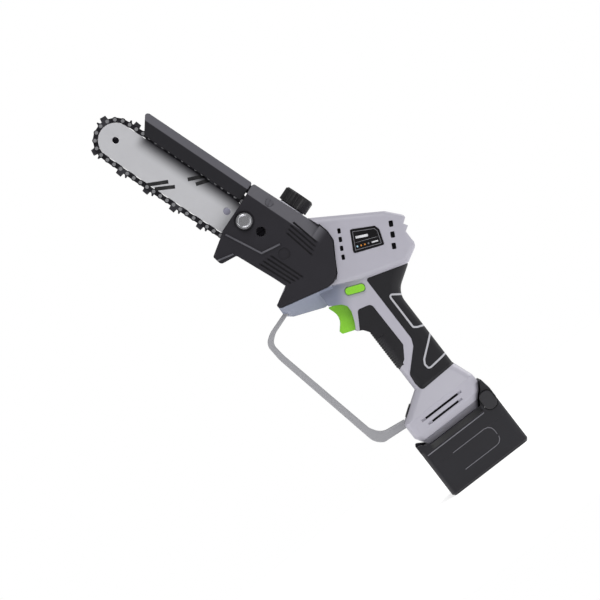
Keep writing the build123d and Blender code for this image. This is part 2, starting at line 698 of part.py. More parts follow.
def head_part():
    """Wide head with rounded edges round the motor."""
    head = slab(HEAD_OUTLINE, -HEAD_HALF, HEAD_HALF, HEAD_RADII)
    round_edges = []
    for edge in head.edges():
        centre = edge.center()
        on_side = abs(abs(centre.Y) - HEAD_HALF) < 0.01
        if on_side and centre.X > 15:
            round_edges.append(edge)
    head = fillet(round_edges, HEAD_ROUND)
    upper_scallop = [(70, 201), (63, 196), (65, 193), (74, 192)]
    lower_scallop = [(66, 193.2), (60.8, 190), (60.8, 182), (61.5, 177.5), (72, 178)]
    return head - slab(upper_scallop, -HEAD_HALF, HEAD_HALF) - slab(lower_scallop, -HEAD_HALF, HEAD_HALF)


# ---------------------------------------------------------------- zones on the handle
FRONT_ZONE = [
    (-7.5, 164), (4, 161), (4.5, 120), (-2, 110), (-9, 106), (-24, 103), (-24, 140), (-16, 150),
]
FRONT_RADII = [3, 4, 3, 3, 3, 0, 0, 0]
REAR_ZONE = [
    (12.5, 179.6), (12.5, 120), (10, 114), (-6, 98), (-7, 90), (-6, 82), (40, 84), (60, 160), (50, 168),
]
REAR_RADII = [2, 3, 5, 4, 4, 3, 0, 0, 3]
ZONE_GAP = 0.05
INLAY_LINES = (
    [(28.5, 152), (20, 158), (19.2, 155), (19.2, 126), (22, 124), (28.5, 121.5)],
    [(28.5, 115), (10.5, 100.5), (8.5, 97), (8.8, 93), (11, 92.2), (28.5, 94)],
)
INLAY_WIDTH = 1.5
INLAY_DEPTH = 0.8


def inlay_band(points):
    """Narrow band along a bent line, right through the handle."""
    path = FilletPolyline(*points, radius=1.5)
    band = trace(path, INLAY_WIDTH)
    plane = Plane(origin=(0, GRIP_HALF + 1, 0), x_dir=(1, 0, 0), z_dir=(0, -1, 0))
    return extrude(plane * band, amount=2 * GRIP_HALF + 2)


grip_outer = neck_part(0) + grip_part(0)
grip_inner = neck_part(GRIP_SKIN) + grip_part(GRIP_SKIN)
grip_skin = grip_outer - grip_inner
front_zone = slab(FRONT_ZONE, -30, 30, FRONT_RADII)
rear_zone = slab(REAR_ZONE, -30, 30, REAR_RADII)
above_head_step = slab([(-60, 205), (-14, 192.9), (13, 180.2), (47.5, 169.2), (60, 176), (60, 210)], -30, 30)
inlay_skin = grip_outer - (neck_part(INLAY_DEPTH) + grip_part(INLAY_DEPTH))
inlays = (inlay_band(INLAY_LINES[0]) + inlay_band(INLAY_LINES[1])) & inlay_skin & rear_zone
front_grip = grip_skin & front_zone
rear_grip = (grip_skin & rear_zone) - above_head_step

RIDGE_COUNT = 18
RIDGE_PITCH = 2.1
RIDGE_START = 108.0
for ridge in range(RIDGE_COUNT):
    height = RIDGE_START + RIDGE_PITCH * ridge
    groove = block(GRIP_FRONT - 1, GRIP_FRONT + 0.6, -9, 9, height - 0.4, height + 0.4)
    front_grip -= groove

# ---------------------------------------------------------------- hollow housing
TANK_OUTLINE = [(5, 29), (8.5, 23), (20, 12.5), (39, 12.5), (39, 29)]
TANK_ROOM = 0.5
TANK_LOW = -5.5
TANK_HIGH = 17.0
CAP_Y = 5.75
SWITCH_BOX = (8.5, 20, -9, 9, 150, 172)
TERMINAL_FRONT = -20.0
CHANNEL_FRONT = -24.0
CHANNEL_TOP = RAIL_TOP + 0.8
HEAD_SCREWS = (-8.0, 18.5, 15.0)
GRIP_SCREWS = (-13.0, 14.5, 11.0)
FOOT_SCREWS = (-24.0, 24.0, 21.5)
SCREWS = (
    (-42, 205, HEAD_SCREWS),
    (-46, 261, HEAD_SCREWS),
    (6.5, 240, HEAD_SCREWS),
    (-13.8, 285, HEAD_SCREWS),
    (28, 179, HEAD_SCREWS),
    (8.5, 140, GRIP_SCREWS),
    (-24, 60, FOOT_SCREWS),
    (24.5, 60, FOOT_SCREWS),
)
BOSS_RADIUS = 3.6
STUD_BOSS_RADIUS = 6.5
STUD_END = HEAD_HALF - 6.5
PIN_END = -7.0
OIL_TUBE_RADIUS = 1.5
OIL_POINT = bar_point(30, 14.6)
OIL_TUBE_END = -10.2
STUD_POINT = bar_point(BAR_SLOT_ALONG, BAR_OFFSET)
TENSION_POINT = bar_point(24.9, 4.3)
PIN_POINT = bar_point(HINGE_ALONG, HINGE_ACROSS)
VENT_ROWS = (
    [(19, 222.5), (15.7, 216.5), (12.2, 210.3), (8.9, 204)],
    [(55.2, 202), (51, 194.3), (46.3, 186.5)],
)
VENT_SIZES = ((2.6, 4.2), (3.4, 5.0))


def vent_cuts():
    """Rounded slots through both sides of the motor's casing."""
    cuts = []
    for row, (width, height) in zip(VENT_ROWS, VENT_SIZES):
        for x, z in row:
            for side in (-1, 1):
                low, high = sorted((side * 15.0, side * (HEAD_HALF + 1)))
                plane = Plane(origin=(x, high, z), x_dir=(1, 0, 0), z_dir=(0, -1, 0))
                slot = Rot(0, 0, -29) * RectangleRounded(width, height, 0.8)
                cuts.append(extrude(plane * slot, amount=high - low))
    return cuts


def button_slot(width, height, y_low, y_high, gap=0.0):
    """Lozenge for the lock button, tilted down to the rear."""
    plane = Plane(origin=(LOCK_X, y_high, LOCK_Z), x_dir=(1, 0, 0), z_dir=(0, -1, 0))
    shape = Rot(0, 0, LOCK_TILT) * RectangleRounded(width + 2 * gap, height + 2 * gap, height / 2 - 0.2)
    return extrude(plane * shape, amount=y_high - y_low)


LABEL_OUTLINE = [(26.5, 218.2), (44, 208.5), (45.2, 204), (41, 192), (17.2, 201.3)]
LABEL_RADII = [1.5, 1.5, 1.5, 1.5, 1.5]
LABEL_DEPTH = 0.6
WINDOW_PLANE = Plane(origin=(-24.3, 0, 74.9), x_dir=(0, 1, 0), z_dir=(-17, 0, 24))
HOOP_OUTER = [
    (-48, 200), (-56, 197.6), (-74, 191.8), (-82.3, 186), (-81.3, 170), (-61.5, 72), (-55, 66.8), (-31.5, 65),
]
HOOP_INNER = [
    (-31.5, 71.5), (-52, 74.2), (-57.5, 83), (-76.3, 171), (-77.6, 183), (-71, 188.7), (-56, 193.8),
    (-48, 196),
]
HOOP_RADII = [0, 8, 20, 9, 40, 14, 6, 0, 0, 12, 9, 60, 7, 14, 8, 0]
HOOP_HALF = 5.5
HOOP_ROUND = 1.1


def cavities():
    """Everything hollow inside the two housing halves."""
    tank_face = offset(outline(TANK_OUTLINE), TANK_ROOM)
    tank = extrude(bar_plane(TANK_LOW - TANK_ROOM) * tank_face, amount=TANK_HIGH - TANK_LOW + 2 * TANK_ROOM)
    hollow = [
        y_rod(SPROCKET_CENTRE, GEAR_CASE_RADIUS + RUN_GAP, GEAR_CASE_FRONT, HEAD_HALF - WALL),
        motor_rod(SNOUT_RADIUS + RUN_GAP, 10, FLANGE_START),
        motor_rod(MOTOR_RADIUS + 0.5, FLANGE_START - 0.5, MOTOR_END + END_CAP_LENGTH + 0.5),
        motor_rod(FAN_RADIUS + 1, MOTOR_END + 1, FAN_START + FAN_LENGTH + 2),
        tank,
        bar_slab([(-12, -17.5), (37, -17.5), (37, 2), (-12, 2)], GEAR_CASE_FRONT, HEAD_HALF - WALL),
        block(-5, 22, -12, 12, 64, 147),
        block(-5.5, 22, -11, 11, 146, 174),
        block(-28, 28, -23, 23, 54.5, 65),
    ]
    return hollow


def housing_outer():
    """Both halves together, before they are hollowed and split."""
    shell = head_part() + nose_part() + foot_part() + grip_outer
    face = offset(outline(COVER_OUTLINE, COVER_RADII), RUN_GAP)
    plane = Plane(origin=(0, FLOOR_BEHIND_CHAIN, 0), x_dir=(1, 0, 0), z_dir=(0, -1, 0))
    return shell - extrude(plane * face, amount=HEAD_HALF)


def make_housing():
    shell = housing_outer()
    for cavity in cavities():
        shell -= cavity
    for x, z, (boss_low, boss_high, head_low) in SCREWS:
        shell += y_rod(Vector(x, 0, z), BOSS_RADIUS, boss_low, boss_high)
    shell += y_rod(STUD_POINT, STUD_BOSS_RADIUS, FLOOR_BEHIND_CHAIN, HEAD_HALF - WALL)
    shell -= front_zone & grip_skin
    shell -= (rear_zone & grip_skin) - above_head_step
    cuts = vent_cuts()
    below = FLOOR_BEHIND_CHAIN - 1
    cuts.append(y_rod(SPROCKET_CENTRE, CASE_NOSE_RADIUS + RUN_GAP, below, GEAR_CASE_FRONT))
    cuts.append(y_rod(STUD_POINT, STUD_RADIUS + FIT_GAP, below, STUD_END + 0.5))
    cuts.append(y_rod(TENSION_POINT, 2.0 + FIT_GAP, below, -4))
    cuts.append(y_rod(PIN_POINT, HINGE_PIN_RADIUS + FIT_GAP, below, PIN_END))
    cuts.append(axis_rod(bar_point(CAP_ALONG, 25, CAP_Y), ACROSS, NECK_RADIUS + 0.2, 20))
    cuts.append(trigger_pocket())
    cuts.append(button_slot(LOCK_LENGTH, LOCK_WIDTH, -GRIP_HALF - 1, -1, RUN_GAP))
    cuts.append(y_rod(OIL_POINT, OIL_TUBE_RADIUS + FIT_GAP, below, TANK_LOW))
    cuts.append(slab(LABEL_OUTLINE, -HEAD_HALF - 1, -HEAD_HALF + LABEL_DEPTH, LABEL_RADII))
    cuts.append(extrude(WINDOW_PLANE * Pos(0, 0, -2) * RectangleRounded(16.2, 11.2, 1.5), amount=8))
    channel_end = GRIP_REAR + 20
    rail_half = RAIL_HALF + SLIDE_GAP
    neck_half = RAIL_NECK + SLIDE_GAP
    cuts.append(block(CHANNEL_FRONT, channel_end, -rail_half, rail_half, 47, CHANNEL_TOP))
    cuts.append(block(CHANNEL_FRONT, channel_end, -neck_half, neck_half, 40, 48))
    cuts.append(block(20, 45, -rail_half, rail_half, 40, 56))
    cuts.append(block(-36, 36, -FOOT_HALF - 2, FOOT_HALF + 2, 57.1, 58.9) & foot_slot_zone(-18, 15))
    cuts.append(block(-36, 36, -FOOT_HALF - 2, FOOT_HALF + 2, 62.1, 63.9) & foot_slot_zone(-21, 18))
    cuts.append(slab(HOOP_OUTER + HOOP_INNER, -HOOP_HALF - 0.05, HOOP_HALF + 0.05, HOOP_RADII))
    for x, z, (boss_low, boss_high, head_low) in SCREWS:
        centre = Vector(x, 0, z)
        cuts.append(y_rod(centre, SCREW_RADIUS + FIT_GAP, boss_low + 1, head_low + 1))
        cuts.append(y_rod(centre, SCREW_HEAD_RADIUS + 0.1, head_low, FOOT_HALF + 2))
    for cut in cuts:
        shell -= cut
    return shell


def trigger_pocket():
    """Opening in the front of the handle that the trigger slides in."""
    half = TRIGGER_HALF + RUN_GAP
    return slab([(-34, 150.8), (-2.5, 150.8), (-2.5, 181), (-34, 181)], -half, half)


def foot_slot_zone(x_low, x_high):
    """Shallow zones on both sides of the foot for its two dark slots."""
    zone = block(x_low, x_high, -FOOT_HALF - 1, -FOOT_HALF + 1.2, 56, 65)
    return zone + block(x_low, x_high, FOOT_HALF - 1.2, FOOT_HALF + 1, 56, 65)


housing = make_housing()
left_half = housing & block(-120, 120, -60, 0, 0, 420)
right_half = housing & block(-120, 120, 0, 60, 0, 420)
save("left_housing", left_half)
save("right_housing", right_half)
save("front_grip", front_grip - trigger_pocket())
save("rear_grip", rear_grip - inlays)
save("grip_inlays", inlays)

# ---------------------------------------------------------------- chain cover
CHAMFER_START = 23.1
CHAMFER_DROP = 5.5
COVER_ROOF = COVER_FACE + COVER_WALL
ARM_LOW = -17.0
ARM_HIGH = -12.0
NUT_SEAT = COVER_FACE + 1.5
PIN_HEAD_RADIUS = 3.0
PIN_SEAT = -21.0


def wedge_along_bar(start, end, corners):
    """Prism along the bar; corners are given across the bar and in Y."""
    plane = Plane(origin=bar_point(start, 0), x_dir=ACROSS, z_dir=ALONG)
    return extrude(plane * outline(corners), amount=end - start)


def groove_line(start, end, width, y_low, y_high):
    """Straight bar of material between two points given in X and Z."""
    first = Vector(start[0], start[1])
    last = Vector(end[0], end[1])
    side = (last - first).normalized().rotate(Axis.Z, 90) * (width / 2)
    corners = [first + side, last + side, last - side, first - side]
    return slab([(corner.X, corner.Y) for corner in corners], y_low, y_high)


def make_chain_cover():
    """Side cover: a plate with a rim behind and below, open where the chain runs in."""
    cover = slab(COVER_OUTLINE, COVER_FACE, FLOOR_BEHIND_CHAIN, COVER_RADII)
    pocket = [
        (75, -38), (75, 24.6), (-2, 24.6), (-14, 20), (-21, 11), (-23, 0), (-21.5, -8), (-17.5, -15),
        (-13, -38),
    ]
    cover -= bar_slab(pocket, COVER_ROOF, FLOOR_BEHIND_CHAIN, [0, 0, 8, 6, 8, 8, 8, 5, 0])
    slope = CHAMFER_DROP / (GUARD_OUTER - CHAMFER_START)
    edge = COVER_FACE - 0.05
    chamfer_corners = [(CHAMFER_START, edge), (40, edge), (40, edge + slope * (40 - CHAMFER_START))]
    cover -= wedge_along_bar(-11, 60, chamfer_corners)
    cover += y_rod(STUD_POINT, 7.5, COVER_ROOF, BAR_NEAR) - y_rod(TENSION_POINT, 5.5, COVER_ROOF, BAR_NEAR)
    cover -= y_rod(STUD_POINT, STUD_RADIUS + 0.3, COVER_FACE, BAR_NEAR)
    cover -= y_rod(STUD_POINT, 8.2, COVER_FACE - 1, NUT_SEAT)
    cover -= y_rod(TENSION_POINT, 4.0, COVER_FACE - 1, COVER_ROOF)
    cover -= y_rod(SPROCKET_CENTRE, 5.0, COVER_FACE - 1, COVER_FACE + 1.0)
    cover -= bar_slab([(26, 22.5), (70, 22.5), (70, 45), (26, 45)], ARM_LOW - 0.6, FLOOR_BEHIND_CHAIN)
    cover -= y_rod(PIN_POINT, HINGE_PIN_RADIUS + FIT_GAP, COVER_FACE - 1, FLOOR_BEHIND_CHAIN)
    cover -= y_rod(PIN_POINT, PIN_HEAD_RADIUS + 0.2, COVER_FACE - 1, PIN_SEAT)
    for line in range(4):
        upper_end = (-9.5 + 3 * line, 220 + 2 * line)
        lower_end = (-36.5 + 3.5 * line, 212.5 - 0.6 * line)
        cover -= groove_line((-15 + 3 * line, 247 + 1.5 * line), upper_end, 1.0, -25, COVER_FACE + 0.7)
        cover -= groove_line((-47 + 3.6 * line, 240.5), lower_end, 1.0, -25, COVER_FACE + 0.7)
    for start, end in (((-54.5, 276), (-40.5, 246)), ((-41, 245.8), (-24, 242.6))):
        cover += groove_line(start, end, 1.8, COVER_FACE - 0.7, COVER_FACE)
    return cover


def make_chain_guard():
    """Channel over the chain's return run, with an arm to its hinge pin."""
    near = BAR_Y - GUARD_HALF
    far = BAR_Y + GUARD_HALF
    profile = [
        (GUARD_START, GUARD_INNER), (GUARD_START, GUARD_OUTER), (151, GUARD_OUTER), (154, 31), (146.5, 19),
        (144.5, GUARD_INNER),
    ]
    guard = bar_slab(profile, near, far, [1.5, 1.5, 2, 2, 3, 1])
    channel = [(50, 0), (50, GUARD_OUTER - GUARD_ROOF), (151, GUARD_OUTER - GUARD_ROOF), (170, 0)]
    guard -= bar_slab(channel, near + GUARD_WALL, far - GUARD_WALL)
    back_wall = [(GUARD_START, BACK_WALL_INNER), (GUARD_START, 17), (144, 17), (142, BACK_WALL_INNER)]
    guard += bar_slab(back_wall, far - GUARD_WALL, far)
    start = GUARD_OUTER - 6.5
    edge = near - 0.05
    guard -= wedge_along_bar(40, 170, [(start, edge), (45, edge), (45, edge + (45 - start) * 0.385)])
    guard += bar_slab([(GUARD_START, 23.3), (GUARD_START, 30), (58, 30), (58, 23.3)], near + 1.5, far - 1.5)
    arm = [(HINGE_ALONG - 3.6, 23.4), (HINGE_ALONG - 3.6, 30.6), (54, 30.6), (54, 23.4)]
    guard += bar_slab(arm, ARM_LOW, ARM_HIGH, [3.5, 3.5, 0, 0])
    return guard - y_rod(PIN_POINT, HINGE_PIN_RADIUS + FIT_GAP, near, far)


def make_guard_pin():
    """Hinge pin with a slotted head."""
    pin = y_rod(PIN_POINT, HINGE_PIN_RADIUS, PIN_SEAT - 1.4, PIN_END - 0.2)
    pin += y_rod(PIN_POINT, PIN_HEAD_RADIUS, PIN_SEAT - 1.4, PIN_SEAT)
    slot_start = (PIN_POINT.X - 4, PIN_POINT.Z - 2)
    slot_end = (PIN_POINT.X + 4, PIN_POINT.Z + 2)
    return pin - groove_line(slot_start, slot_end, 0.8, -25, PIN_SEAT - 0.8)


def make_bar_nut():
    """Flanged hexagon nut."""
    nut = y_rod(STUD_POINT, 6.5, NUT_SEAT - 1.3, NUT_SEAT)
    plane = Plane(origin=(STUD_POINT.X, NUT_SEAT - 6.5, STUD_POINT.Z), x_dir=(1, 0, 0), z_dir=(0, 1, 0))
    nut += extrude(plane * RegularPolygon(5.6, 6), amount=5.3)
    return nut - y_rod(STUD_POINT, STUD_RADIUS + FIT_GAP, -40, 0)


def make_tension_screw():
    screw = y_rod(TENSION_POINT, 2.0, -18.6, -4.6) + y_rod(TENSION_POINT, 3.2, -21, -18.6)
    slot_start = (TENSION_POINT.X - 4, TENSION_POINT.Z)
    slot_end = (TENSION_POINT.X + 4, TENSION_POINT.Z)
    return screw - groove_line(slot_start, slot_end, 1.0, -22, -20)


save("chain_cover", make_chain_cover())
save("chain_guard", make_chain_guard())
save("guard_pin", make_guard_pin())
save("guard_spring", coil(PIN_POINT + RIGHT * -11.4, RIGHT, 3.2, 0.3, 1.6, 2))
save("bar_stud", y_rod(STUD_POINT, STUD_RADIUS, NUT_SEAT - 7.2, STUD_END))
save("bar_nut", make_bar_nut())
save("tension_screw", make_tension_screw())

# ---------------------------------------------------------------- oil tank
TANK_WALL = 1.6
CAP_SEAL = 0.8
PLUG_DEPTH = 7.0


def make_oil_tank():
    """Bottle with a filler neck that comes out between the two housing halves."""
    tank = bar_slab(TANK_OUTLINE, TANK_LOW, TANK_HIGH)
    neck_start = 28.0
    neck_length = CAP_ACROSS - CAP_SEAL - neck_start
    tank += axis_rod(bar_point(CAP_ALONG, neck_start, CAP_Y), ACROSS, NECK_RADIUS, neck_length)
    inside = offset(outline(TANK_OUTLINE), -TANK_WALL)
    tank -= extrude(bar_plane(TANK_LOW + TANK_WALL) * inside, amount=TANK_HIGH - TANK_LOW - 2 * TANK_WALL)
    return tank - axis_rod(bar_point(CAP_ALONG, 24, CAP_Y), ACROSS, NECK_BORE, 20)


def make_oil_cap():
    """Ribbed screw cap with a plug that goes down into the neck."""
    cap = axis_rod(bar_point(CAP_ALONG, CAP_ACROSS, CAP_Y), ACROSS, CAP_RADIUS, CAP_HEIGHT)
    cap = chamfer(cap.faces().sort_by(Axis(bar_point(0, 0), ACROSS))[-1].edges(), 1.4)
    plane = Plane(origin=bar_point(CAP_ALONG, CAP_ACROSS, CAP_Y), x_dir=RIGHT, z_dir=ACROSS)
    notches = Sketch() + PolarLocations(CAP_RADIUS + 0.25, CAP_RIBS) * Circle(0.7)
    cap -= extrude(plane * notches, amount=CAP_HEIGHT)
    plug_start = bar_point(CAP_ALONG, CAP_ACROSS - PLUG_DEPTH, CAP_Y)
    return cap + axis_rod(plug_start, ACROSS, NECK_BORE - 0.08, PLUG_DEPTH)


seal_start = bar_point(CAP_ALONG, CAP_ACROSS - CAP_SEAL, CAP_Y)
save("oil_tank", make_oil_tank())
save("oil_cap", make_oil_cap())
save("cap_seal", axis_rod(seal_start, ACROSS, NECK_RADIUS - 0.3, CAP_SEAL, NECK_BORE + 0.1))
oil_tube = y_rod(OIL_POINT, OIL_TUBE_RADIUS, OIL_TUBE_END, TANK_LOW)
save("oil_tube", oil_tube - y_rod(OIL_POINT, 0.8, OIL_TUBE_END, TANK_LOW))

# ---------------------------------------------------------------- hand guard, trigger and lock button
hoop = slab(HOOP_OUTER + HOOP_INNER, -HOOP_HALF, HOOP_HALF, HOOP_RADII)
hoop_edges = [edge for edge in hoop.edges() if abs(abs(edge.center().Y) - HOOP_HALF) < 0.01]
hoop_edges = [edge for edge in hoop_edges if edge.center().X < -30 and edge.length > 8.5]
save("hand_guard", fillet(hoop_edges, HOOP_ROUND))

TRIGGER_OUTLINE = [
    (-25.3, 179.5), (-23, 172.5), (-22.6, 168.5), (-24.5, 164), (-29.3, 158.6), (-28.6, 155.8), (-19, 152.3),
    (-8, 155), (-8, 173), (-13, 176),
]
TRIGGER_RADII = [0.8, 8, 10, 8, 1.5, 1.5, 3, 1, 2, 1]
STEM_END = -1.0
trigger = slab(TRIGGER_OUTLINE, -TRIGGER_HALF, TRIGGER_HALF, TRIGGER_RADII)
trigger += block(-9, STEM_END, -5, 5, 158, 170)
save("trigger", trigger)
spring_start = Vector(STEM_END + 0.5, 0, 164)
save("trigger_spring", coil(spring_start, Vector(1, 0, 0), 3.0, 0.4, SWITCH_BOX[0] - STEM_END - 1.0, 6))
save("switch_body", block(*SWITCH_BOX))

BUTTON_FACE = -GRIP_HALF - 1.6
BUTTON_BACK = -10.0
save("lock_button", button_slot(LOCK_LENGTH, LOCK_WIDTH, BUTTON_FACE, BUTTON_BACK))
save("lock_spring", coil(Vector(LOCK_X, BUTTON_BACK + 0.4, LOCK_Z), RIGHT, 2.0, 0.3, -BUTTON_BACK - 1.8, 6))
save("label_plate", slab(LABEL_OUTLINE, -HEAD_HALF - 0.2, -HEAD_HALF + LABEL_DEPTH, LABEL_RADII))

window = RectangleRounded(16, 11, 1.5)
pane = RectangleRounded(11, 6.5, 1)
save("indicator_frame", extrude(WINDOW_PLANE * Pos(0, 0, -2) * (window - pane), amount=3.0))
save("indicator_lens", extrude(WINDOW_PLANE * Pos(0, 0, -2) * pane, amount=2.5))

# ---------------------------------------------------------------- electrics in the foot
BLADE_ROWS = (-8, 0, 8)
board = block(-19, 19, -20, 20, 54.5, 56.1)
for x, y, size, height in ((-10, -10, 8, 4), (6, -8, 10, 5), (-6, 10, 6, 3), (10, 9, 7, 6)):
    board += block(x - size / 2, x + size / 2, y - size / 2, y + size / 2, 56.1, 56.1 + height)
save("control_board", board)
terminal = block(CHANNEL_FRONT, TERMINAL_FRONT, -11, 11, 45.5, CHANNEL_TOP)
blades = [block(TERMINAL_FRONT, -9.5, row - 0.4, row + 0.4, 48, 51) for row in BLADE_ROWS]
save("terminal_block", terminal)
save("terminal_blades", blades)


def make_screws():
    """Housing screws, all driven from the right-hand side."""
    screws = []
    for x, z, (boss_low, boss_high, head_low) in SCREWS:
        centre = Vector(x, 0, z)
        screw = y_rod(centre, SCREW_RADIUS, boss_low + 1.2, head_low)
        screw += y_rod(centre, SCREW_HEAD_RADIUS, head_low, head_low + 2)
        plane = Plane(origin=(x, head_low + 1, z), x_dir=(1, 0, 0), z_dir=(0, 1, 0))
        cross = Rectangle(3.4, 0.7) + Rectangle(0.7, 3.4)
        screws.append(screw - extrude(plane * cross, amount=2))
    return screws


def make_case_screws():
    screws = []
    top = GEAR_CASE_BACK + GEAR_COVER_THICK
    for turn in range(4):
        centre = case_screw_point(turn)
        head = y_rod(centre, SCREW_HEAD_RADIUS, top, top + 1.6)
        screws.append(y_rod(centre, SCREW_RADIUS, GEAR_CASE_BACK, top) + head)
    return screws


save("housing_screws", make_screws())
save("gear_case_screws", make_case_screws())

# ---------------------------------------------------------------- battery
CELL_PITCH = 18.4
CELL_BOTTOM = 12.0
HORN_INNER = 22.0
HORN_TOP = 49.5
ISLAND_FRONT = -19.0
ISLAND_REAR = 24.0
LATCH_CENTRE_X = 30.8
LATCH_CENTRE_Z = 44.6
LATCH_TRAVEL = 2.5
LATCH_OUT = 31.0
LATCH_IN = 26.0
TOWER_HALF = 28.5
TOWER_OUTLINE = [
    (23.4, 43), (23.4, 45), (26.4, 50), (31.2, 55), (34.4, 60.6), (36, 60.8), (37.5, 52), (37.5, 43),
]


def case_shell(z_low, z_high, open_low, open_high):
    """Rounded box wall between two heights; an open end has no floor or roof."""
    outer = Pos(0, 0, z_low) * RectangleRounded(2 * BATTERY_HALF_X, 2 * BATTERY_HALF_Y, BATTERY_CORNER)
    inner_corner = BATTERY_CORNER - BATTERY_WALL
    inner_shape = RectangleRounded(
        2 * (BATTERY_HALF_X - BATTERY_WALL), 2 * (BATTERY_HALF_Y - BATTERY_WALL), inner_corner
    )
    shell = extrude(outer, amount=z_high - z_low)
    low = z_low if open_low else z_low + BATTERY_WALL
    high = z_high if open_high else z_high - BATTERY_WALL
    return shell, extrude(Pos(0, 0, low) * inner_shape, amount=high - low)


def latch_shape(y_low, y_high, gap):
    """Rounded push button seen from the side."""
    plane = Plane(origin=(LATCH_CENTRE_X, y_high, LATCH_CENTRE_Z), x_dir=(1, 0, 0), z_dir=(0, -1, 0))
    return extrude(plane * RectangleRounded(11 + 2 * gap, 15 + 2 * gap, 4.5), amount=y_high - y_low)


def make_battery_base():
    shell, inside = case_shell(0, BATTERY_SPLIT, False, True)
    shell = chamfer(shell.faces().sort_by(Axis.Z)[0].edges(), 2.0)
    return shell - inside


def make_battery_top():
    """Top shell with the slide-in rail, two front horns and the latch tower."""
    shell, inside = case_shell(BATTERY_SPLIT, BATTERY_HEIGHT, True, False)
    shell += block(ISLAND_FRONT, ISLAND_REAR, -RAIL_NECK, RAIL_NECK, BATTERY_HEIGHT, RAIL_TOP)
    shell += block(ISLAND_FRONT, ISLAND_REAR, -RAIL_HALF, RAIL_HALF, 48.6, RAIL_TOP)
    horn = [(-BATTERY_HALF_X, 43), (-BATTERY_HALF_X, 47), (-36, HORN_TOP), (-28.5, 45), (-27, 43)]
    shell += slab(horn, -BATTERY_HALF_Y, -HORN_INNER, [0, 1.5, 1.5, 4, 0])
    shell += slab(horn, HORN_INNER, BATTERY_HALF_Y, [0, 1.5, 1.5, 4, 0])
    shell += slab(TOWER_OUTLINE, -TOWER_HALF, TOWER_HALF)
    shell -= inside
    for row in BLADE_ROWS:
        shell -= block(ISLAND_FRONT - 1, -8.5, row - 0.9, row + 0.9, 46.8, RAIL_TOP + 1)
    for side in (-1, 1):
        low, high = sorted((side * (LATCH_IN - LATCH_TRAVEL - 0.5), side * (LATCH_OUT + 1)))
        shell -= latch_shape(low, high, RUN_GAP)
    return shell


def cell_centres():
    """Middle of each cell in Y and Z: three below, two above."""
    low = [(CELL_PITCH * column, CELL_BOTTOM) for column in (-1, 0, 1)]
    high = CELL_BOTTOM + CELL_PITCH * math.sin(math.radians(60))
    return low + [(CELL_PITCH * column, high) for column in (-0.5, 0.5)]


def make_cells():
    cells = []
    for y, z in cell_centres():
        cell = axis_rod(Vector(-CELL_LENGTH / 2, y, z), Vector(1, 0, 0), CELL_RADIUS, CELL_LENGTH - 1.2)
        cells.append(cell + axis_rod(Vector(CELL_LENGTH / 2 - 1.2, y, z), Vector(1, 0, 0), 3.0, 1.2))
    return cells


strip_start = CELL_LENGTH / 2 + 0.02
strips = [
    block(strip_start, strip_start + 0.3, -24, 24, 8, 32),
    block(-strip_start - 0.3, -strip_start, -24, 24, 8, 32),
]
save("battery_base", make_battery_base())
save("battery_top", make_battery_top())
save("battery_cells", make_cells())
save("cell_strips", strips)
save("left_latch_button", latch_shape(-LATCH_OUT, -LATCH_IN, 0))
save("right_latch_button", latch_shape(LATCH_IN, LATCH_OUT, 0))
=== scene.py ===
"""A one-hand battery chainsaw: finishes and fine surface detail laid over its fixed frame.

All sizes are millimetres in the frame's own axes (+Z up the handle, -X to the trigger's side,
-Y to the side with the bar) and turn to metres where a mesh or a pattern is made.
"""

from __future__ import annotations

import logging
import math
from dataclasses import dataclass, field
from enum import Enum

import bpy
import numpy as np
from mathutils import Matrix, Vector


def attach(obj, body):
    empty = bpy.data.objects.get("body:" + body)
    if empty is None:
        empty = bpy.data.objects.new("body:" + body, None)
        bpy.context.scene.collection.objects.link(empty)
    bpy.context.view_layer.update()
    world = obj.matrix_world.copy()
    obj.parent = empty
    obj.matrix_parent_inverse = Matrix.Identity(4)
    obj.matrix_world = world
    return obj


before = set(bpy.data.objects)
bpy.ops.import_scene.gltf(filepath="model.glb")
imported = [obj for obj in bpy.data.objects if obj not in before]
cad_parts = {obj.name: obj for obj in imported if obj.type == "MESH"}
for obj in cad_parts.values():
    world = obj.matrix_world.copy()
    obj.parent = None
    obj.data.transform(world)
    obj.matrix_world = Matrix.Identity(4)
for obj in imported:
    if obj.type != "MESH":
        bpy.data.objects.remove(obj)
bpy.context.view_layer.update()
LOG = logging.getLogger("chainsaw")
MM = 0.001
BAR_TILT = math.radians(18.4)
SPROCKET = np.array((-26.7, 0.0, 234.8))
ALONG = np.array((-math.sin(BAR_TILT), 0.0, math.cos(BAR_TILT)))
ACROSS = np.array((math.cos(BAR_TILT), 0.0, math.sin(BAR_TILT)))
ROLL = math.radians(37.6)
VIEW_RIGHT = (math.cos(ROLL), 0.0, -math.sin(ROLL))
BELOW_STEP = (-0.4256, 0.0, -0.9049)
TOWARDS_BAR_SIDE = (0.0, -1.0, 0.0)

# A Mix node has several sockets of each name; these are its two colours and their result.
MIX_A, MIX_B, MIX_RESULT = 6, 7, 2


class Side(Enum):
    """The two flanks of the saw."""

    BAR = -1
    PLAIN = 1


# ------------------------------------------------------------------ node and colour helpers


def linear(code: str) -> tuple[float, float, float, float]:
    """Turns an sRGB hex code into linear colour.

    Args:
        code: six hex digits with a leading hash.

    Returns:
        Linear red, green and blue, and an alpha of 1.
    """
    parts = np.array([int(code[i:i + 2], 16) for i in (1, 3, 5)]) / 255.0
    light = np.where(parts <= 0.04045, parts / 12.92, ((parts + 0.055) / 1.055) ** 2.4)
    return (float(light[0]), float(light[1]), float(light[2]), 1.0)


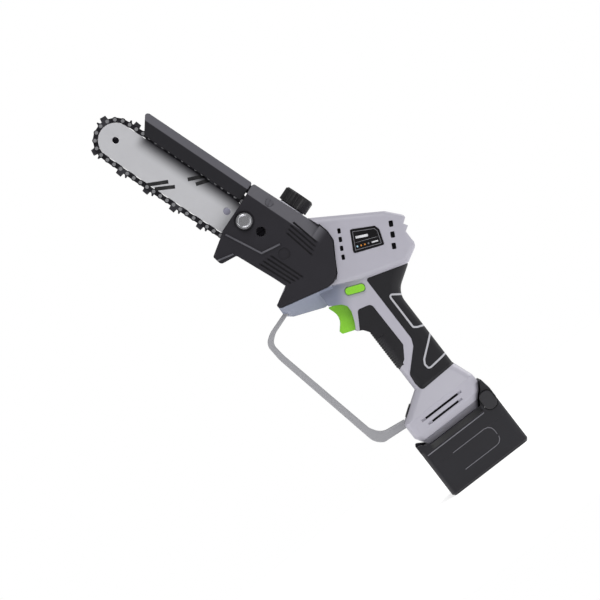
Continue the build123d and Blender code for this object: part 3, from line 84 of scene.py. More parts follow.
def add_node(tree: bpy.types.NodeTree, kind: str, settings: dict | None = None,
             inputs: dict | None = None) -> bpy.types.Node:
    """Adds one node with its settings and links.

    Args:
        tree: the node tree that gets the node.
        kind: the node's type name.
        settings: attribute names and their values.
        inputs: input names or indices, each with a value or with a socket to link.

    Returns:
        The new node.
    """
    node = tree.nodes.new(kind)
    for name, value in (settings or {}).items():
        setattr(node, name, value)
    for name, value in (inputs or {}).items():
        if isinstance(value, bpy.types.NodeSocket):
            tree.links.new(value, node.inputs[name])
        else:
            node.inputs[name].default_value = value
    return node


def new_material(name: str) -> tuple[bpy.types.Material, bpy.types.NodeTree]:
    """Makes an empty node material.

    Args:
        name: the material's name.

    Returns:
        The material and its node tree.
    """
    material = bpy.data.materials.new(name)
    material.use_nodes = True
    material.node_tree.nodes.clear()
    return material, material.node_tree


@dataclass(frozen=True)
class Band:
    """A zone of painted shade or painted highlight: another colour between two planes, fading in over a
    stretch.

    Attributes:
        colour: sRGB hex of the zone.
        direction: unit vector the planes are square to.
        begin: distance from the sprocket's centre at which the zone is absent, mm.
        end: distance at which it is full, mm; less than begin for a zone on the near side.
        limit: optional second fade (direction, begin, end) that the zone also needs.
        strength: how much of the colour is laid on.
    """

    colour: str
    direction: tuple[float, float, float]
    begin: float
    end: float
    limit: tuple[tuple[float, float, float], float, float] | None = None
    strength: float = 1.0


def fade(tree: bpy.types.NodeTree, position: bpy.types.NodeSocket, direction: tuple[float, float, float],
         begin: float, end: float) -> bpy.types.NodeSocket:
    """Factor that goes from 0 to 1 as a point moves along a direction.

    The factor is the point's distance along the direction from the sprocket's centre, mapped
    smoothly from begin to end.

    Args:
        tree: the node tree.
        position: the Object coordinates.
        direction: unit vector.
        begin: distance with factor 0, mm.
        end: distance with factor 1, mm.

    Returns:
        The factor's socket.
    """
    start = float(np.dot(SPROCKET, direction))
    reach = add_node(tree, "ShaderNodeVectorMath", {"operation": "DOT_PRODUCT"}, {0: position, 1: direction})
    low, high = (begin + start) * MM, (end + start) * MM
    ramp = add_node(tree, "ShaderNodeMapRange", {"interpolation_type": "SMOOTHSTEP"},
                    {"Value": reach.outputs["Value"], "From Min": min(low, high), "From Max": max(low, high),
                     "To Min": float(low > high), "To Max": float(low <= high)})
    return ramp.outputs["Result"]


def mottled_colour(tree: bpy.types.NodeTree, position: bpy.types.NodeSocket, colour: str, spread: float,
                   size_mm: float) -> bpy.types.NodeSocket:
    """Base colour with a slow cloudy change of lightness.

    Args:
        tree: the node tree.
        position: the Object coordinates.
        colour: sRGB hex.
        spread: share of the lightness that varies.
        size_mm: width of a cloud.

    Returns:
        The colour's socket.
    """
    cloud = add_node(tree, "ShaderNodeTexNoise", None, {"Vector": position, "Scale": 1.0 / (size_mm * MM),
                                                        "Detail": 3.0, "Roughness": 0.55})
    base = np.array(linear(colour)[:3])
    dark = tuple(float(v) for v in base * (1 - spread)) + (1.0,)
    light = tuple(float(v) for v in base * (1 + spread)) + (1.0,)
    mix = add_node(tree, "ShaderNodeMix", {"data_type": "RGBA"},
                   {"Factor": cloud.outputs["Fac"], MIX_A: dark, MIX_B: light})
    return mix.outputs[MIX_RESULT]


def lay_bands(tree: bpy.types.NodeTree, position: bpy.types.NodeSocket, colour: bpy.types.NodeSocket,
              bands: tuple[Band, ...]) -> bpy.types.NodeSocket:
    """Lays each zone of painted shade or painted highlight over the colour so far, by its fade times its
    limit and strength.

    Args:
        tree: the node tree.
        position: the Object coordinates.
        colour: the colour under the zones.
        bands: the zones, the lowest first.

    Returns:
        The colour's socket.
    """
    for band in bands:
        factor = fade(tree, position, band.direction, band.begin, band.end)
        if band.limit:
            also = fade(tree, position, *band.limit)
            factor = add_node(tree, "ShaderNodeMath", {"operation": "MULTIPLY"},
                              {0: factor, 1: also}).outputs[0]
        if band.strength < 1.0:
            factor = add_node(tree, "ShaderNodeMath", {"operation": "MULTIPLY"},
                              {0: factor, 1: band.strength}).outputs[0]
        mix = add_node(tree, "ShaderNodeMix", {"data_type": "RGBA"},
                       {"Factor": factor, MIX_A: colour, MIX_B: linear(band.colour)})
        colour = mix.outputs[MIX_RESULT]
    return colour


@dataclass(frozen=True)
class Moulded:
    """Injection-moulded ABS or glass-filled nylon: an even colour with a spark-eroded grain.

    The eye gets a soft broad highlight, a fine orange-peel grain and slightly rounded edges. The
    real grain is about 0.1 mm; it is drawn at grain_mm so that it still shows at a hand's distance.
    """

    name: str
    colour: str
    roughness: float
    grain_mm: float = 0.9
    grain_depth: float = 0.12
    spread: float = 0.05
    edge_mm: float = 0.45
    ior: float = 1.52
    coat: float = 0.0
    bands: tuple[Band, ...] = ()
    seam: bool = False
    cloud_mm: float = 22.0
    grain_lift_mm: float = 0.05
    smoother: float = 0.05
    rougher: float = 0.07
    coat_roughness: float = 0.12

    def build(self) -> bpy.types.Material:
        """Builds the node material.

        Returns:
            The material.
        """
        material, tree = new_material(self.name)
        position = add_node(tree, "ShaderNodeTexCoord").outputs["Object"]
        colour = mottled_colour(tree, position, self.colour, self.spread, self.cloud_mm)
        colour = lay_bands(tree, position, colour, self.bands)
        if self.seam:
            colour = self.parting_line(tree, position, colour)
        grain = add_node(tree, "ShaderNodeTexNoise", None,
                         {"Vector": position, "Scale": 1.0 / (self.grain_mm * MM), "Detail": 2.0})
        gloss = add_node(tree, "ShaderNodeMapRange", None,
                         {"Value": grain.outputs["Fac"], "To Min": self.roughness - self.smoother,
                          "To Max": self.roughness + self.rougher})
        relief = {"Height": grain.outputs["Fac"], "Strength": self.grain_depth,
                  "Distance": self.grain_lift_mm * MM}
        if self.edge_mm:
            edge = add_node(tree, "ShaderNodeBevel", {"samples": 4}, {"Radius": self.edge_mm * MM})
            relief["Normal"] = edge.outputs["Normal"]
        bump = add_node(tree, "ShaderNodeBump", None, relief)
        shader = add_node(tree, "ShaderNodeBsdfPrincipled", None,
                          {"Base Color": colour, "Roughness": gloss.outputs["Result"], "IOR": self.ior,
                           "Normal": bump.outputs["Normal"], "Coat Weight": self.coat,
                           "Coat Roughness": self.coat_roughness})
        add_node(tree, "ShaderNodeOutputMaterial", None, {"Surface": shader.outputs["BSDF"]})
        return material

    @staticmethod
    def parting_line(tree: bpy.types.NodeTree, position: bpy.types.NodeSocket,
                     colour: bpy.types.NodeSocket) -> bpy.types.NodeSocket:
        """Darkens the joint between the two shells, where the distance from the middle plane is small.

        The shade is full up to 0.12 mm from the plane and gone at 0.34 mm.

        Args:
            tree: the node tree.
            position: the Object coordinates.
            colour: the colour so far.

        Returns:
            The colour with the joint drawn in.
        """
        axes = add_node(tree, "ShaderNodeSeparateXYZ", None, {0: position})
        gap = add_node(tree, "ShaderNodeMath", {"operation": "ABSOLUTE"}, {0: axes.outputs["Y"]})
        full, gone, shade = 0.12 * MM, 0.34 * MM, 0.75
        ramp = add_node(tree, "ShaderNodeMapRange", None,
                        {"Value": gap.outputs[0], "From Min": full, "From Max": gone,
                         "To Min": shade, "To Max": 0.0})
        mix = add_node(tree, "ShaderNodeMix", {"data_type": "RGBA"},
                       {"Factor": ramp.outputs["Result"], MIX_A: colour, MIX_B: linear("#2A2930")})
        return mix.outputs[MIX_RESULT]


@dataclass(frozen=True)
class SoftRubber:
    """Thermoplastic rubber overmould: matt, with a sandy micro-grain that scatters the highlight.

    The real grain is about 0.1 mm; it is drawn at grain_mm so that it still shows.
    """

    name: str
    colour: str
    grain_mm: float = 0.7
    grain_depth: float = 0.22
    grain_lift_mm: float = 0.08
    spread: float = 0.14
    cloud_mm: float = 9.0
    edge_mm: float = 0.5
    roughness: float = 0.60
    ior: float = 1.40
    sheen: float = 0.03
    sheen_roughness: float = 0.5

    def build(self) -> bpy.types.Material:
        """Builds the node material.

        Returns:
            The material.
        """
        material, tree = new_material(self.name)
        position = add_node(tree, "ShaderNodeTexCoord").outputs["Object"]
        colour = mottled_colour(tree, position, self.colour, self.spread, self.cloud_mm)
        cells = add_node(tree, "ShaderNodeTexVoronoi", None,
                         {"Vector": position, "Scale": 1.0 / (self.grain_mm * MM)})
        edge = add_node(tree, "ShaderNodeBevel", {"samples": 4}, {"Radius": self.edge_mm * MM})
        bump = add_node(tree, "ShaderNodeBump", None,
                        {"Height": cells.outputs["Distance"], "Strength": self.grain_depth,
                         "Distance": self.grain_lift_mm * MM, "Normal": edge.outputs["Normal"]})
        shader = add_node(tree, "ShaderNodeBsdfPrincipled", None,
                          {"Base Color": colour, "Roughness": self.roughness, "IOR": self.ior,
                           "Sheen Weight": self.sheen, "Sheen Roughness": self.sheen_roughness,
                           "Normal": bump.outputs["Normal"]})
        add_node(tree, "ShaderNodeOutputMaterial", None, {"Surface": shader.outputs["BSDF"]})
        return material


@dataclass(frozen=True)
class GroundSteel:
    """Bare or plated steel with the fine parallel scratches of a grinding belt.

    The scratches are noise stretched along one direction. They change the roughness and tilt the
    surface a little, which draws the highlight out. Real ones are about 0.05 mm apart; they are
    drawn at scratch_mm so that they still show.
    """

    name: str
    colour: str
    roughness: float
    scratch_mm: float = 0.5
    stretch: float = 28.0
    turn: float = BAR_TILT
    depth: float = 0.08
    spread: float = 0.05
    bands: tuple[Band, ...] = ()
    metallic: float = 1.0
    cloud_mm: float = 14.0
    scratch_lift_mm: float = 0.02
    smoother: float = 0.07
    rougher: float = 0.09

    def build(self) -> bpy.types.Material:
        """Builds the node material.

        Returns:
            The material.
        """
        material, tree = new_material(self.name)
        position = add_node(tree, "ShaderNodeTexCoord").outputs["Object"]
        turned = add_node(tree, "ShaderNodeMapping", None,
                          {"Vector": position, "Rotation": (0.0, self.turn, 0.0)})
        squeezed = add_node(tree, "ShaderNodeMapping", None,
                            {"Vector": turned.outputs[0], "Scale": (1.0, 1.0, 1.0 / self.stretch)})
        scratch = add_node(tree, "ShaderNodeTexNoise", None,
                           {"Vector": squeezed.outputs[0], "Scale": 1.0 / (self.scratch_mm * MM),
                            "Detail": 4.0})
        colour = mottled_colour(tree, position, self.colour, self.spread, self.cloud_mm)
        colour = lay_bands(tree, position, colour, self.bands)
        gloss = add_node(tree, "ShaderNodeMapRange", None,
                         {"Value": scratch.outputs["Fac"], "To Min": self.roughness - self.smoother,
                          "To Max": self.roughness + self.rougher})
        bump = add_node(tree, "ShaderNodeBump", None,
                        {"Height": scratch.outputs["Fac"], "Strength": self.depth,
                         "Distance": self.scratch_lift_mm * MM})
        shader = add_node(tree, "ShaderNodeBsdfPrincipled", None,
                          {"Base Color": colour, "Roughness": gloss.outputs["Result"],
                           "Metallic": self.metallic, "Normal": bump.outputs["Normal"]})
        add_node(tree, "ShaderNodeOutputMaterial", None, {"Surface": shader.outputs["BSDF"]})
        return material


# ------------------------------------------------------------------ finishes


class Finish(Enum):
    """Every finish on the saw, named for what the real material is."""

    # Moulded ABS shells: a soft lilac-grey sheen, with a painted shade, cooler and darker, under the head's
    # step.
    SHELL_ABS = Moulded(
        "shell_abs_grey", "#B0AEB9", 0.42, edge_mm=0.7, seam=True,
        # painted shade: a darker blue-grey zone on the down-facing surface under the head's step
        bands=(Band("#757C90", VIEW_RIGHT, 56.0, 40.0, (BELOW_STEP, 32.0, 34.0), 0.9),),
    )
    # Glass-filled nylon: plain matt grey on the hoop; charcoal on cover and guard, with a lighter band on
    # each top chamfer that is a painted highlight.
    HOOP_NYLON = Moulded("hoop_nylon_grey", "#9C9CA0", 0.45, grain_depth=0.0, edge_mm=0.0)
    COVER_NYLON = Moulded(
        "cover_nylon_charcoal", "#1D1B22", 0.50, grain_depth=0.25, spread=0.12, edge_mm=0.5, ior=1.42,
        # painted highlight along the cover's top chamfer
        bands=(Band("#5E5D63", tuple(ACROSS), 22.6, 23.6, (tuple(ALONG), -20.0, -10.0)),),
    )
    GUARD_NYLON = Moulded("guard_nylon_charcoal", "#17161C", 0.48, grain_depth=0.25, spread=0.12, edge_mm=0.4,
                          # painted highlight along the guard's top chamfer
                          ior=1.42, bands=(Band("#5C5B62", tuple(ACROSS), 25.8, 26.6),))
    PLUG_NYLON = Moulded("plug_nylon_lilac", "#9796A8", 0.45, grain_depth=0.05, edge_mm=0.0)
    # The cover's ridges: a lighter grey that is a painted highlight on their raised edges.
    RIDGE_HIGHLIGHT = Moulded("cover_ridge_worn", "#55545B", 0.42, grain_depth=0.1, edge_mm=0.0)
    # The pack, cap and latches: near-black plastics, the cap the glossiest of them.
    PACK_ABS = Moulded("pack_abs_charcoal", "#18171D", 0.42, grain_depth=0.2, spread=0.10, edge_mm=0.8,
                       ior=1.42)
    CAP_NYLON = Moulded("cap_nylon_black", "#0E0D11", 0.30, grain_depth=0.1, edge_mm=0.3)
    LATCH_ABS = Moulded("latch_abs_black", "#1D1C21", 0.38, edge_mm=0.9)
    # Polished mould: a bright green with a wet-looking highlight.
    TRIGGER_ABS = Moulded("trigger_abs_green", "#8AD236", 0.28, grain_depth=0.04, edge_mm=0.7, coat=0.2)
    # Blown polythene bottle, milky; then light inlays and the glossy film of the label.
    TANK_POLYTHENE = Moulded("tank_polythene_milky", "#E6E6EE", 0.35, grain_depth=0.05)
    INLAY_ABS = Moulded("inlay_abs_light_grey", "#B6B6BC", 0.40, edge_mm=0.2)
    LABEL_FOIL = Moulded("label_polyester_black", "#09080B", 0.25, grain_depth=0.02, edge_mm=0.2, ior=1.42)
    # Screen-printed ink: flat colour that stands a hair above its ground.
    PRINT_WHITE = Moulded("print_ink_white", "#DCDCE0", 0.45, grain_depth=0.02, edge_mm=0.0)
    PRINT_GREY = Moulded("print_ink_grey", "#77767C", 0.45, grain_depth=0.02, edge_mm=0.0)
    # The black ink also lies in the pack's recess as a painted shade.
    BLACK_INK_AND_SHADE = Moulded("print_ink_black", "#0F0E12", 0.50, grain_depth=0.02, edge_mm=0.0)
    PRINT_AMBER = Moulded("print_ink_amber", "#D98A2B", 0.45, grain_depth=0.02, edge_mm=0.0)
    PRINT_BLUE = Moulded("print_ink_blue", "#B4DCF0", 0.45, grain_depth=0.02, edge_mm=0.0)
    # The pack's flank lines; on its ridge the same lighter grey is a painted highlight.
    PACK_LINE = Moulded("pack_line_grey", "#6C6B72", 0.40, grain_depth=0.05, edge_mm=0.0)
    # Painted shade: a near-black laid in slots, grooves and vents and along the cover's gap, where shade
    # falls.
    PAINTED_SHADE = Moulded("painted_shade_dark", "#0C0B0F", 0.70, edge_mm=0.0, ior=1.3)
    # Clear-coated acrylic: a sharp reflection over black or smoky red.
    BEZEL_ACRYLIC = Moulded("bezel_acrylic_black", "#0C0C10", 0.15, grain_depth=0.02, edge_mm=0.3, coat=0.4)
    LENS_ACRYLIC = Moulded("lens_acrylic_smoky_red", "#A04E56", 0.18, grain_depth=0.02, edge_mm=0.4, coat=0.5)
    # Parts inside the casings: plain moulded or coated, in their usual colours.
    INNER_PLASTIC = Moulded("inner_nylon_black", "#2A2A2E", 0.55)
    BOARD_EPOXY = Moulded("board_epoxy_green", "#1F6B45", 0.40)
    CELL_SLEEVE = Moulded("cell_sleeve_blue", "#3E6FA8", 0.30)
    # Rubbers: matt black, a little lighter on the ribs as a slight painted highlight for the light they
    # catch.
    SEAL_RUBBER = SoftRubber("seal_nitrile_black", "#1E1E20")
    GRIP_RUBBER = SoftRubber("grip_rubber_black", "#131217")
    # the ribs' lighter black is a slight painted highlight
    RIB_RUBBER = SoftRubber("rib_rubber_black", "#19181D")
    # Ground guide bar: a pale satin plate, with a painted shade beside the guard that stands for the guard's
    # shadow.
    BAR_STEEL = GroundSteel(
        "bar_steel_ground", "#D8D8DC", 0.46, scratch_mm=0.8, metallic=0.55,
        # painted shade beside the guard; it stays on the bar when the guard swings away
        bands=(Band("#26242C", tuple(ACROSS), 1.5, 15.5, (tuple(ALONG), 150.0, 141.0), 0.95),),
    )
    # Saw chain: dark oiled links with greyer chromed cutters and bright rivet heads.
    CHAIN_STEEL = GroundSteel("chain_steel_oiled", "#37363B", 0.40, stretch=3.0, spread=0.30)
    CUTTER_CHROME = GroundSteel("cutter_steel_chromed", "#5E5D63", 0.30, stretch=3.0, spread=0.25)
    RIVET_STEEL = GroundSteel("rivet_steel_bright", "#C6C6CA", 0.30, stretch=1.0)
    # Fasteners: bright zinc, blacked screws and a dull pin.
    BOLT_ZINC = GroundSteel("bolt_steel_zinc", "#C9C9CD", 0.26, stretch=1.0)
    SCREW_DARK = GroundSteel("screw_steel_blacked", "#1D1C20", 0.45, stretch=1.0)
    PIN_STEEL = GroundSteel("pin_steel_dull", "#7C7B82", 0.42, stretch=1.0)
    # Drive metals: machined steel, cast aluminium, dark laminations, copper wire and nickel.
    GEAR_STEEL = GroundSteel("gear_steel_machined", "#8D8D92", 0.35, stretch=2.0)
    CASE_ALUMINIUM = GroundSteel("case_aluminium_cast", "#B9B9BD", 0.50, stretch=1.0, depth=0.2)
    IRON_DARK = GroundSteel("core_iron_dark", "#4A4A4E", 0.55, stretch=1.0)
    COPPER_WIRE = GroundSteel("winding_copper", "#B4703F", 0.35, scratch_mm=0.6, stretch=12.0, turn=0.0)
    CONTACT_NICKEL = GroundSteel("contact_nickel", "#C9C2A8", 0.30, stretch=1.0)

    def material(self) -> bpy.types.Material:
        """The finish's material, built the first time it is asked for."""
        return bpy.data.materials.get(self.value.name) or self.value.build()


# ------------------------------------------------------------------ mesh helpers


def grid_mesh(name: str, points: np.ndarray, wrap_u: bool, wrap_v: bool) -> bpy.types.Object:
    """Turns a grid of points into a smooth-shaded quad mesh.

    Point (u, v) joins (u + 1, v), (u + 1, v + 1) and (u, v + 1); a wrapped direction also joins
    its last row to its first.

    Args:
        name: the piece's name.
        points: array of shape (rows, columns, 3), metres.
        wrap_u: whether the rows close on themselves.
        wrap_v: whether the columns close on themselves.

    Returns:
        The new object, linked to the scene and standing at the origin.
    """
    rows, columns = points.shape[:2]
    u = np.arange(rows if wrap_u else rows - 1)
    v = np.arange(columns if wrap_v else columns - 1)
    first, second = np.meshgrid(u, v, indexing="ij")
    next_u, next_v = (first + 1) % rows, (second + 1) % columns
    corners = np.stack([first * columns + second, next_u * columns + second,
                        next_u * columns + next_v, first * columns + next_v], axis=-1).reshape(-1, 4)
    mesh = bpy.data.meshes.new(name)
    mesh.vertices.add(rows * columns)
    mesh.vertices.foreach_set("co", points.reshape(-1).astype(np.float32))
    mesh.loops.add(corners.size)
    mesh.loops.foreach_set("vertex_index", corners.reshape(-1).astype(np.int32))
    mesh.polygons.add(len(corners))
    mesh.polygons.foreach_set("loop_start", np.arange(0, corners.size, 4, dtype=np.int32))
    mesh.polygons.foreach_set("use_smooth", np.ones(len(corners), dtype=bool))
    mesh.update(calc_edges=True)
    mesh.validate()
    thing = bpy.data.objects.new(name, mesh)
    bpy.context.scene.collection.objects.link(thing)
    return thing


@dataclass(frozen=True)
class Bead:
    """A low moulded or printed line on a flank.

    Attributes:
        name: the piece's name.
        points: path corners in X and Z, mm.
        width: width across the path, mm.
        face: Y of the surface it lies on, mm.
        rise: height above that surface, mm.
        closed: whether the path returns to its start.
        section_points: points across the section.
        fullness: power on the section's sine and cosine; 1 is a half round, less is squarer.
        sink: how far the section's foot goes into the surface, mm.
        least_facing: limit on a mitre, so that a sharp corner doesn't throw out a spike.
    """

    name: str
    points: tuple[tuple[float, float], ...]
    width: float
    face: float
    rise: float
    closed: bool = False
    section_points: int = 9
    fullness: float = 0.5
    sink: float = 0.02
    least_facing: float = 0.4

    def mesh(self) -> bpy.types.Object:
        """Carries a squared half-round section along the path.

        At path point C with mitred side direction N the surface is C + N * (w / 2) * cos(t) plus
        rise * sin(t) away from the face, with t from 0 to pi and both raised to the power
        fullness; open ends shrink to the path so that they are closed.

        Returns:
            The new object.
        """
        path = np.array(self.points, float)
        back = np.roll(path, 1, axis=0)
        ahead = np.roll(path, -1, axis=0)
        if not self.closed:
            back[0], ahead[-1] = path[0], path[-1]
        before = path - back
        after = ahead - path
        if not self.closed:
            before[0], after[-1] = after[0], before[-1]
        before /= np.linalg.norm(before, axis=1, keepdims=True)
        after /= np.linalg.norm(after, axis=1, keepdims=True)
        sides = np.stack([-(before + after)[:, 1], (before + after)[:, 0]], axis=1)
        sides /= np.linalg.norm(sides, axis=1, keepdims=True)
        square_to_run = np.stack([-after[:, 1], after[:, 0]], axis=1)
        facing = np.abs(np.sum(sides * square_to_run, axis=1))
        spread = 1.0 / np.maximum(facing, self.least_facing)
        turn = np.linspace(0.0, math.pi, self.section_points)
        square = np.sign(np.cos(turn)) * np.abs(np.cos(turn)) ** self.fullness
        lift = np.sin(turn) ** self.fullness
        outward = math.copysign(1.0, self.face)
        offset = square[None, :, None] * sides[:, None, :] * (spread * self.width / 2)[:, None, None]
        points = np.zeros((len(path), len(turn), 3))
        points[..., 0] = path[:, None, 0] + offset[..., 0]
        points[..., 2] = path[:, None, 1] + offset[..., 1]
        points[..., 1] = self.face + outward * (self.rise * lift[None, :] - self.sink)
        if not self.closed:
            ends = np.repeat(points[[0, -1]].mean(axis=1, keepdims=True), len(turn), axis=1)
            ends[..., 1] = self.face
            points = np.concatenate([ends[:1], points, ends[1:]])
        if outward < 0:
            points = points[:, ::-1]
        return grid_mesh(self.name, points * MM, self.closed, False)


@dataclass(frozen=True)
class Lathe:
    """A turned detail that stands on a flank.

    Attributes:
        name: the piece's name.
        centre: X and Z of its axis, mm.
        profile: radius and distance outwards from the face, mm, from the rim to the middle.
        face: Y of the surface it stands on, mm.
        steps: points round a turn.
    """

    name: str
    centre: tuple[float, float]
    profile: tuple[tuple[float, float], ...]
    face: float
    steps: int = 72

    def mesh(self) -> bpy.types.Object:
        """Turns the profile round its axis.

        At angle t the point (r, h) of the profile goes to x + r cos t and z + r sin t, and to
        h outwards from the face.

        Returns:
            The new object.
        """
        radius, height = np.array(self.profile, float).T
        turn = np.linspace(0.0, 2 * math.pi, self.steps, endpoint=False)
        outward = math.copysign(1.0, self.face)
        points = np.zeros((len(radius), len(turn), 3))
        points[..., 0] = self.centre[0] + radius[:, None] * np.cos(turn)
        points[..., 1] = self.face + outward * height[:, None]
        points[..., 2] = self.centre[1] + radius[:, None] * np.sin(turn)
        if outward > 0:
            points = points[:, ::-1]
        return grid_mesh(self.name, points * MM, False, True)


@dataclass(frozen=True)
class RibField:
    """The fine ribs that wrap round the front of the handle under the fingers.

    Attributes:
        front: X of the flat front, mm.
        half: half width of the handle, mm.
        corner: radius of its front corners, mm.
        low: height of the first rib's foot, mm.
        count: number of ribs.
        pitch: distance between ribs, mm.
        rise: height of a rib, mm.
        wrap: how far round each corner the ribs run, radians.
        lead: gap between the handle's skin and a rib's foot, mm.
        end_fade: power that the height has towards both ends of a rib.
        crown: power that rounds a rib's top; 1 is a plain half wave.
        corner_points: points round one corner.
        flat_points: points over the flat between the corners.
        rib_points: points over one rib's height.
    """

    front: float = -10.0
    half: float = 17.0
    corner: float = 9.0
    low: float = 107.0
    count: int = 17
    pitch: float = 2.1
    rise: float = 0.7
    wrap: float = math.radians(66.0)
    lead: float = 0.03
    end_fade: float = 0.6
    crown: float = 0.7
    corner_points: int = 14
    flat_points: int = 6
    rib_points: int = 12

    def mesh(self) -> bpy.types.Object:
        """Waves the handle's front skin outwards.

        The section runs round one corner, over the flat and round the other corner. At height z it
        stands rise * |sin(pi (z - low) / pitch)| ** crown * e off the skin, where e falls to 0 at
        both ends.

        Returns:
            The new object.
        """
        bend = np.linspace(self.wrap, 0.0, self.corner_points)
        turn = np.concatenate([bend, np.zeros(self.flat_points), -bend[::-1]])
        flat = self.half - self.corner
        over_flat = np.linspace(-flat, flat, self.flat_points + 2)[1:-1]
        at_corner = np.full(self.corner_points, flat)
        middle = np.concatenate([-at_corner, over_flat, at_corner])
        ends = np.sin(np.linspace(0.0, math.pi, len(turn))) ** self.end_fade
        height = self.low + np.linspace(0.0, self.count * self.pitch, self.count * self.rib_points + 1)
        wave = np.abs(np.sin(math.pi * (height - self.low) / self.pitch)) ** self.crown
        reach = self.corner + self.lead + self.rise * wave[:, None] * ends[None, :]
        points = np.zeros((len(height), len(turn), 3))
        points[..., 0] = self.front + self.corner - reach * np.cos(turn)
        points[..., 1] = middle - reach * np.sin(turn)
        points[..., 2] = height[:, None]
        return grid_mesh("grip_ribs", points * MM, False, False)


def lay(piece: bpy.types.Object, body: str, finish: Finish) -> None:
    """Gives a new piece its finish and the body it moves with.

    Args:
        piece: the new piece.
        body: the frame body it rides on.
        finish: its finish.
    """
    piece.data.materials.append(finish.material())
    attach(piece, body)
    LOG.info("made %s on %s: %d faces", piece.name, body, len(piece.data.polygons))


def dress(finishes: dict[str, Finish]) -> None:
    """Puts its finish on each frame node of a sub-assembly.

    Args:
        finishes: node names and their finishes.
    """
    for node, finish in finishes.items():
        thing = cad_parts[node]
        if not thing.material_slots:
            thing.data.materials.append(finish.material())
        for place in thing.material_slots:
            place.material = finish.material()
        LOG.info("dressed %s in %s", node, finish.value.name)


def spot(along: float, across: float) -> tuple[float, float]:
    """X and Z of a point given along and across the bar from the sprocket's centre, all mm."""
    point = SPROCKET + ALONG * along + ACROSS * across
    return point[0], point[2]


# ------------------------------------------------------------------ sub-assemblies


@dataclass
class CuttingGear:
    """Guide bar, saw chain, sprocket and the printed stripes on the bar.

    nose_place and hole_place are distances along and across the bar from the sprocket's centre.
    """

    bar_face: float = -14.6
    ink_rise: float = 0.06
    stripe_width: float = 3.1
    stripes: tuple = (
        ((-79.8, 344.9), (-64.6, 336.5)),
        ((-76.7, 338.4), (-62.8, 330.1)),
        ((-51.3, 328.4), (-38.9, 322.5)),
        ((-48.5, 321.5), (-38.0, 317.6)),
    )
    nose_place: tuple[float, float] = (161.65, 0.0)
    nose_rivet: tuple = ((2.6, -3.0), (2.6, -0.1), (2.3, 0.15), (0.0, 0.25))
    hole_place: tuple[float, float] = (56.7, 2.7)
    hole_plug: tuple = ((2.9, -3.0), (2.9, -0.3), (2.6, -0.15), (0.0, -0.15))
    finishes: dict = field(default_factory=lambda: {
        "guide_bar": Finish.BAR_STEEL, "drive_links": Finish.CHAIN_STEEL, "tie_straps": Finish.CHAIN_STEEL,
        "left_cutters": Finish.CUTTER_CHROME, "right_cutters": Finish.CUTTER_CHROME,
        "chain_rivets": Finish.RIVET_STEEL, "sprocket": Finish.GEAR_STEEL, "shaft_clip": Finish.GEAR_STEEL,
    })

    def build(self) -> None:
        """Dresses the nodes, prints the stripes and sets the nose rivet and the hole's plug."""
        dress(self.finishes)
        for index, ends in enumerate(self.stripes):
            stripe = Bead(f"bar_stripe_{index}", ends, self.stripe_width, self.bar_face, self.ink_rise)
            lay(stripe.mesh(), "saw", Finish.BLACK_INK_AND_SHADE)
        rivet = Lathe("bar_nose_rivet", spot(*self.nose_place), self.nose_rivet, self.bar_face)
        lay(rivet.mesh(), "saw", Finish.SCREW_DARK)
        plug = Lathe("bar_hole_plug", spot(*self.hole_place), self.hole_plug, self.bar_face)
        lay(plug.mesh(), "saw", Finish.PLUG_NYLON)


@dataclass
class CoverAndGuard:
    """Side cover, swinging chain guard and their hardware.

    nut_place is the distances along and across the bar from the sprocket's centre. Each of
    groove_fans is its first line's two ends and how far each end shifts from line to line.
    """

    cover_face: float = -24.0
    ridge_face: float = -24.7
    nut_face: float = -29.0
    nut_place: tuple[float, float] = (40.7, 3.8)
    groove_width: float = 1.5
    groove_rise: float = 0.04
    ridge_width: float = 1.4
    ridge_rise: float = 0.12
    ridges: tuple = (
        ((-72.0, 262.6), (-58.6, 259.0)),
        ((-54.2, 275.2), (-40.6, 246.0), (-24.6, 242.8)),
    )
    groove_count: int = 4
    groove_fans: tuple = (
        (((-14.6, 245.6), (-9.8, 221.4)), ((3.0, 1.5), (3.0, 2.0))),
        (((-46.4, 239.0), (-36.9, 213.6)), ((3.6, 0.0), (3.5, -0.6))),
    )
    nut: tuple = (
        (5.5, -0.6), (5.5, 0.1), (5.2, 0.45), (4.5, 0.5), (4.2, 0.1), (3.7, 0.05), (3.4, 0.4), (2.2, 0.5),
        (2.0, 0.0), (0.0, -0.05),
    )
    finishes: dict = field(default_factory=lambda: {
        "chain_cover": Finish.COVER_NYLON, "chain_guard": Finish.GUARD_NYLON, "bar_nut": Finish.BOLT_ZINC,
        "bar_stud": Finish.BOLT_ZINC, "guard_pin": Finish.PIN_STEEL, "tension_screw": Finish.SCREW_DARK,
        "guard_spring": Finish.GEAR_STEEL,
    })

    def grooves(self) -> list[tuple[tuple[float, float], tuple[float, float]]]:
        """Both fans of grip grooves, taken in turn: line n's ends are first + n * shift."""
        lines = []
        for step in range(self.groove_count):
            for first, shift in self.groove_fans:
                ends = np.array(first) + np.array(shift) * step
                lines.append((tuple(ends[0]), tuple(ends[1])))
        return lines

    def build(self) -> None:
        """Dresses the nodes, paints shade over the grooves, paints a highlight on the ridges and turns the
        nut's face.
        """
        dress(self.finishes)
        # Dark strips over the cover's real grooves: painted shade.
        for index, ends in enumerate(self.grooves()):
            groove_shade = Bead(f"cover_groove_shade_{index}", ends, self.groove_width, self.cover_face, self.groove_rise)
            lay(groove_shade.mesh(), "saw", Finish.PAINTED_SHADE)
        # Lighter strips on the cover's ridges: painted highlight.
        for index, path in enumerate(self.ridges):
            ridge = Bead(f"cover_ridge_{index}", path, self.ridge_width, self.ridge_face, self.ridge_rise)
            lay(ridge.mesh(), "saw", Finish.RIDGE_HIGHLIGHT)
        nut = Lathe("bar_nut_face", spot(*self.nut_place), self.nut, self.nut_face)
        lay(nut.mesh(), "saw", Finish.BOLT_ZINC)


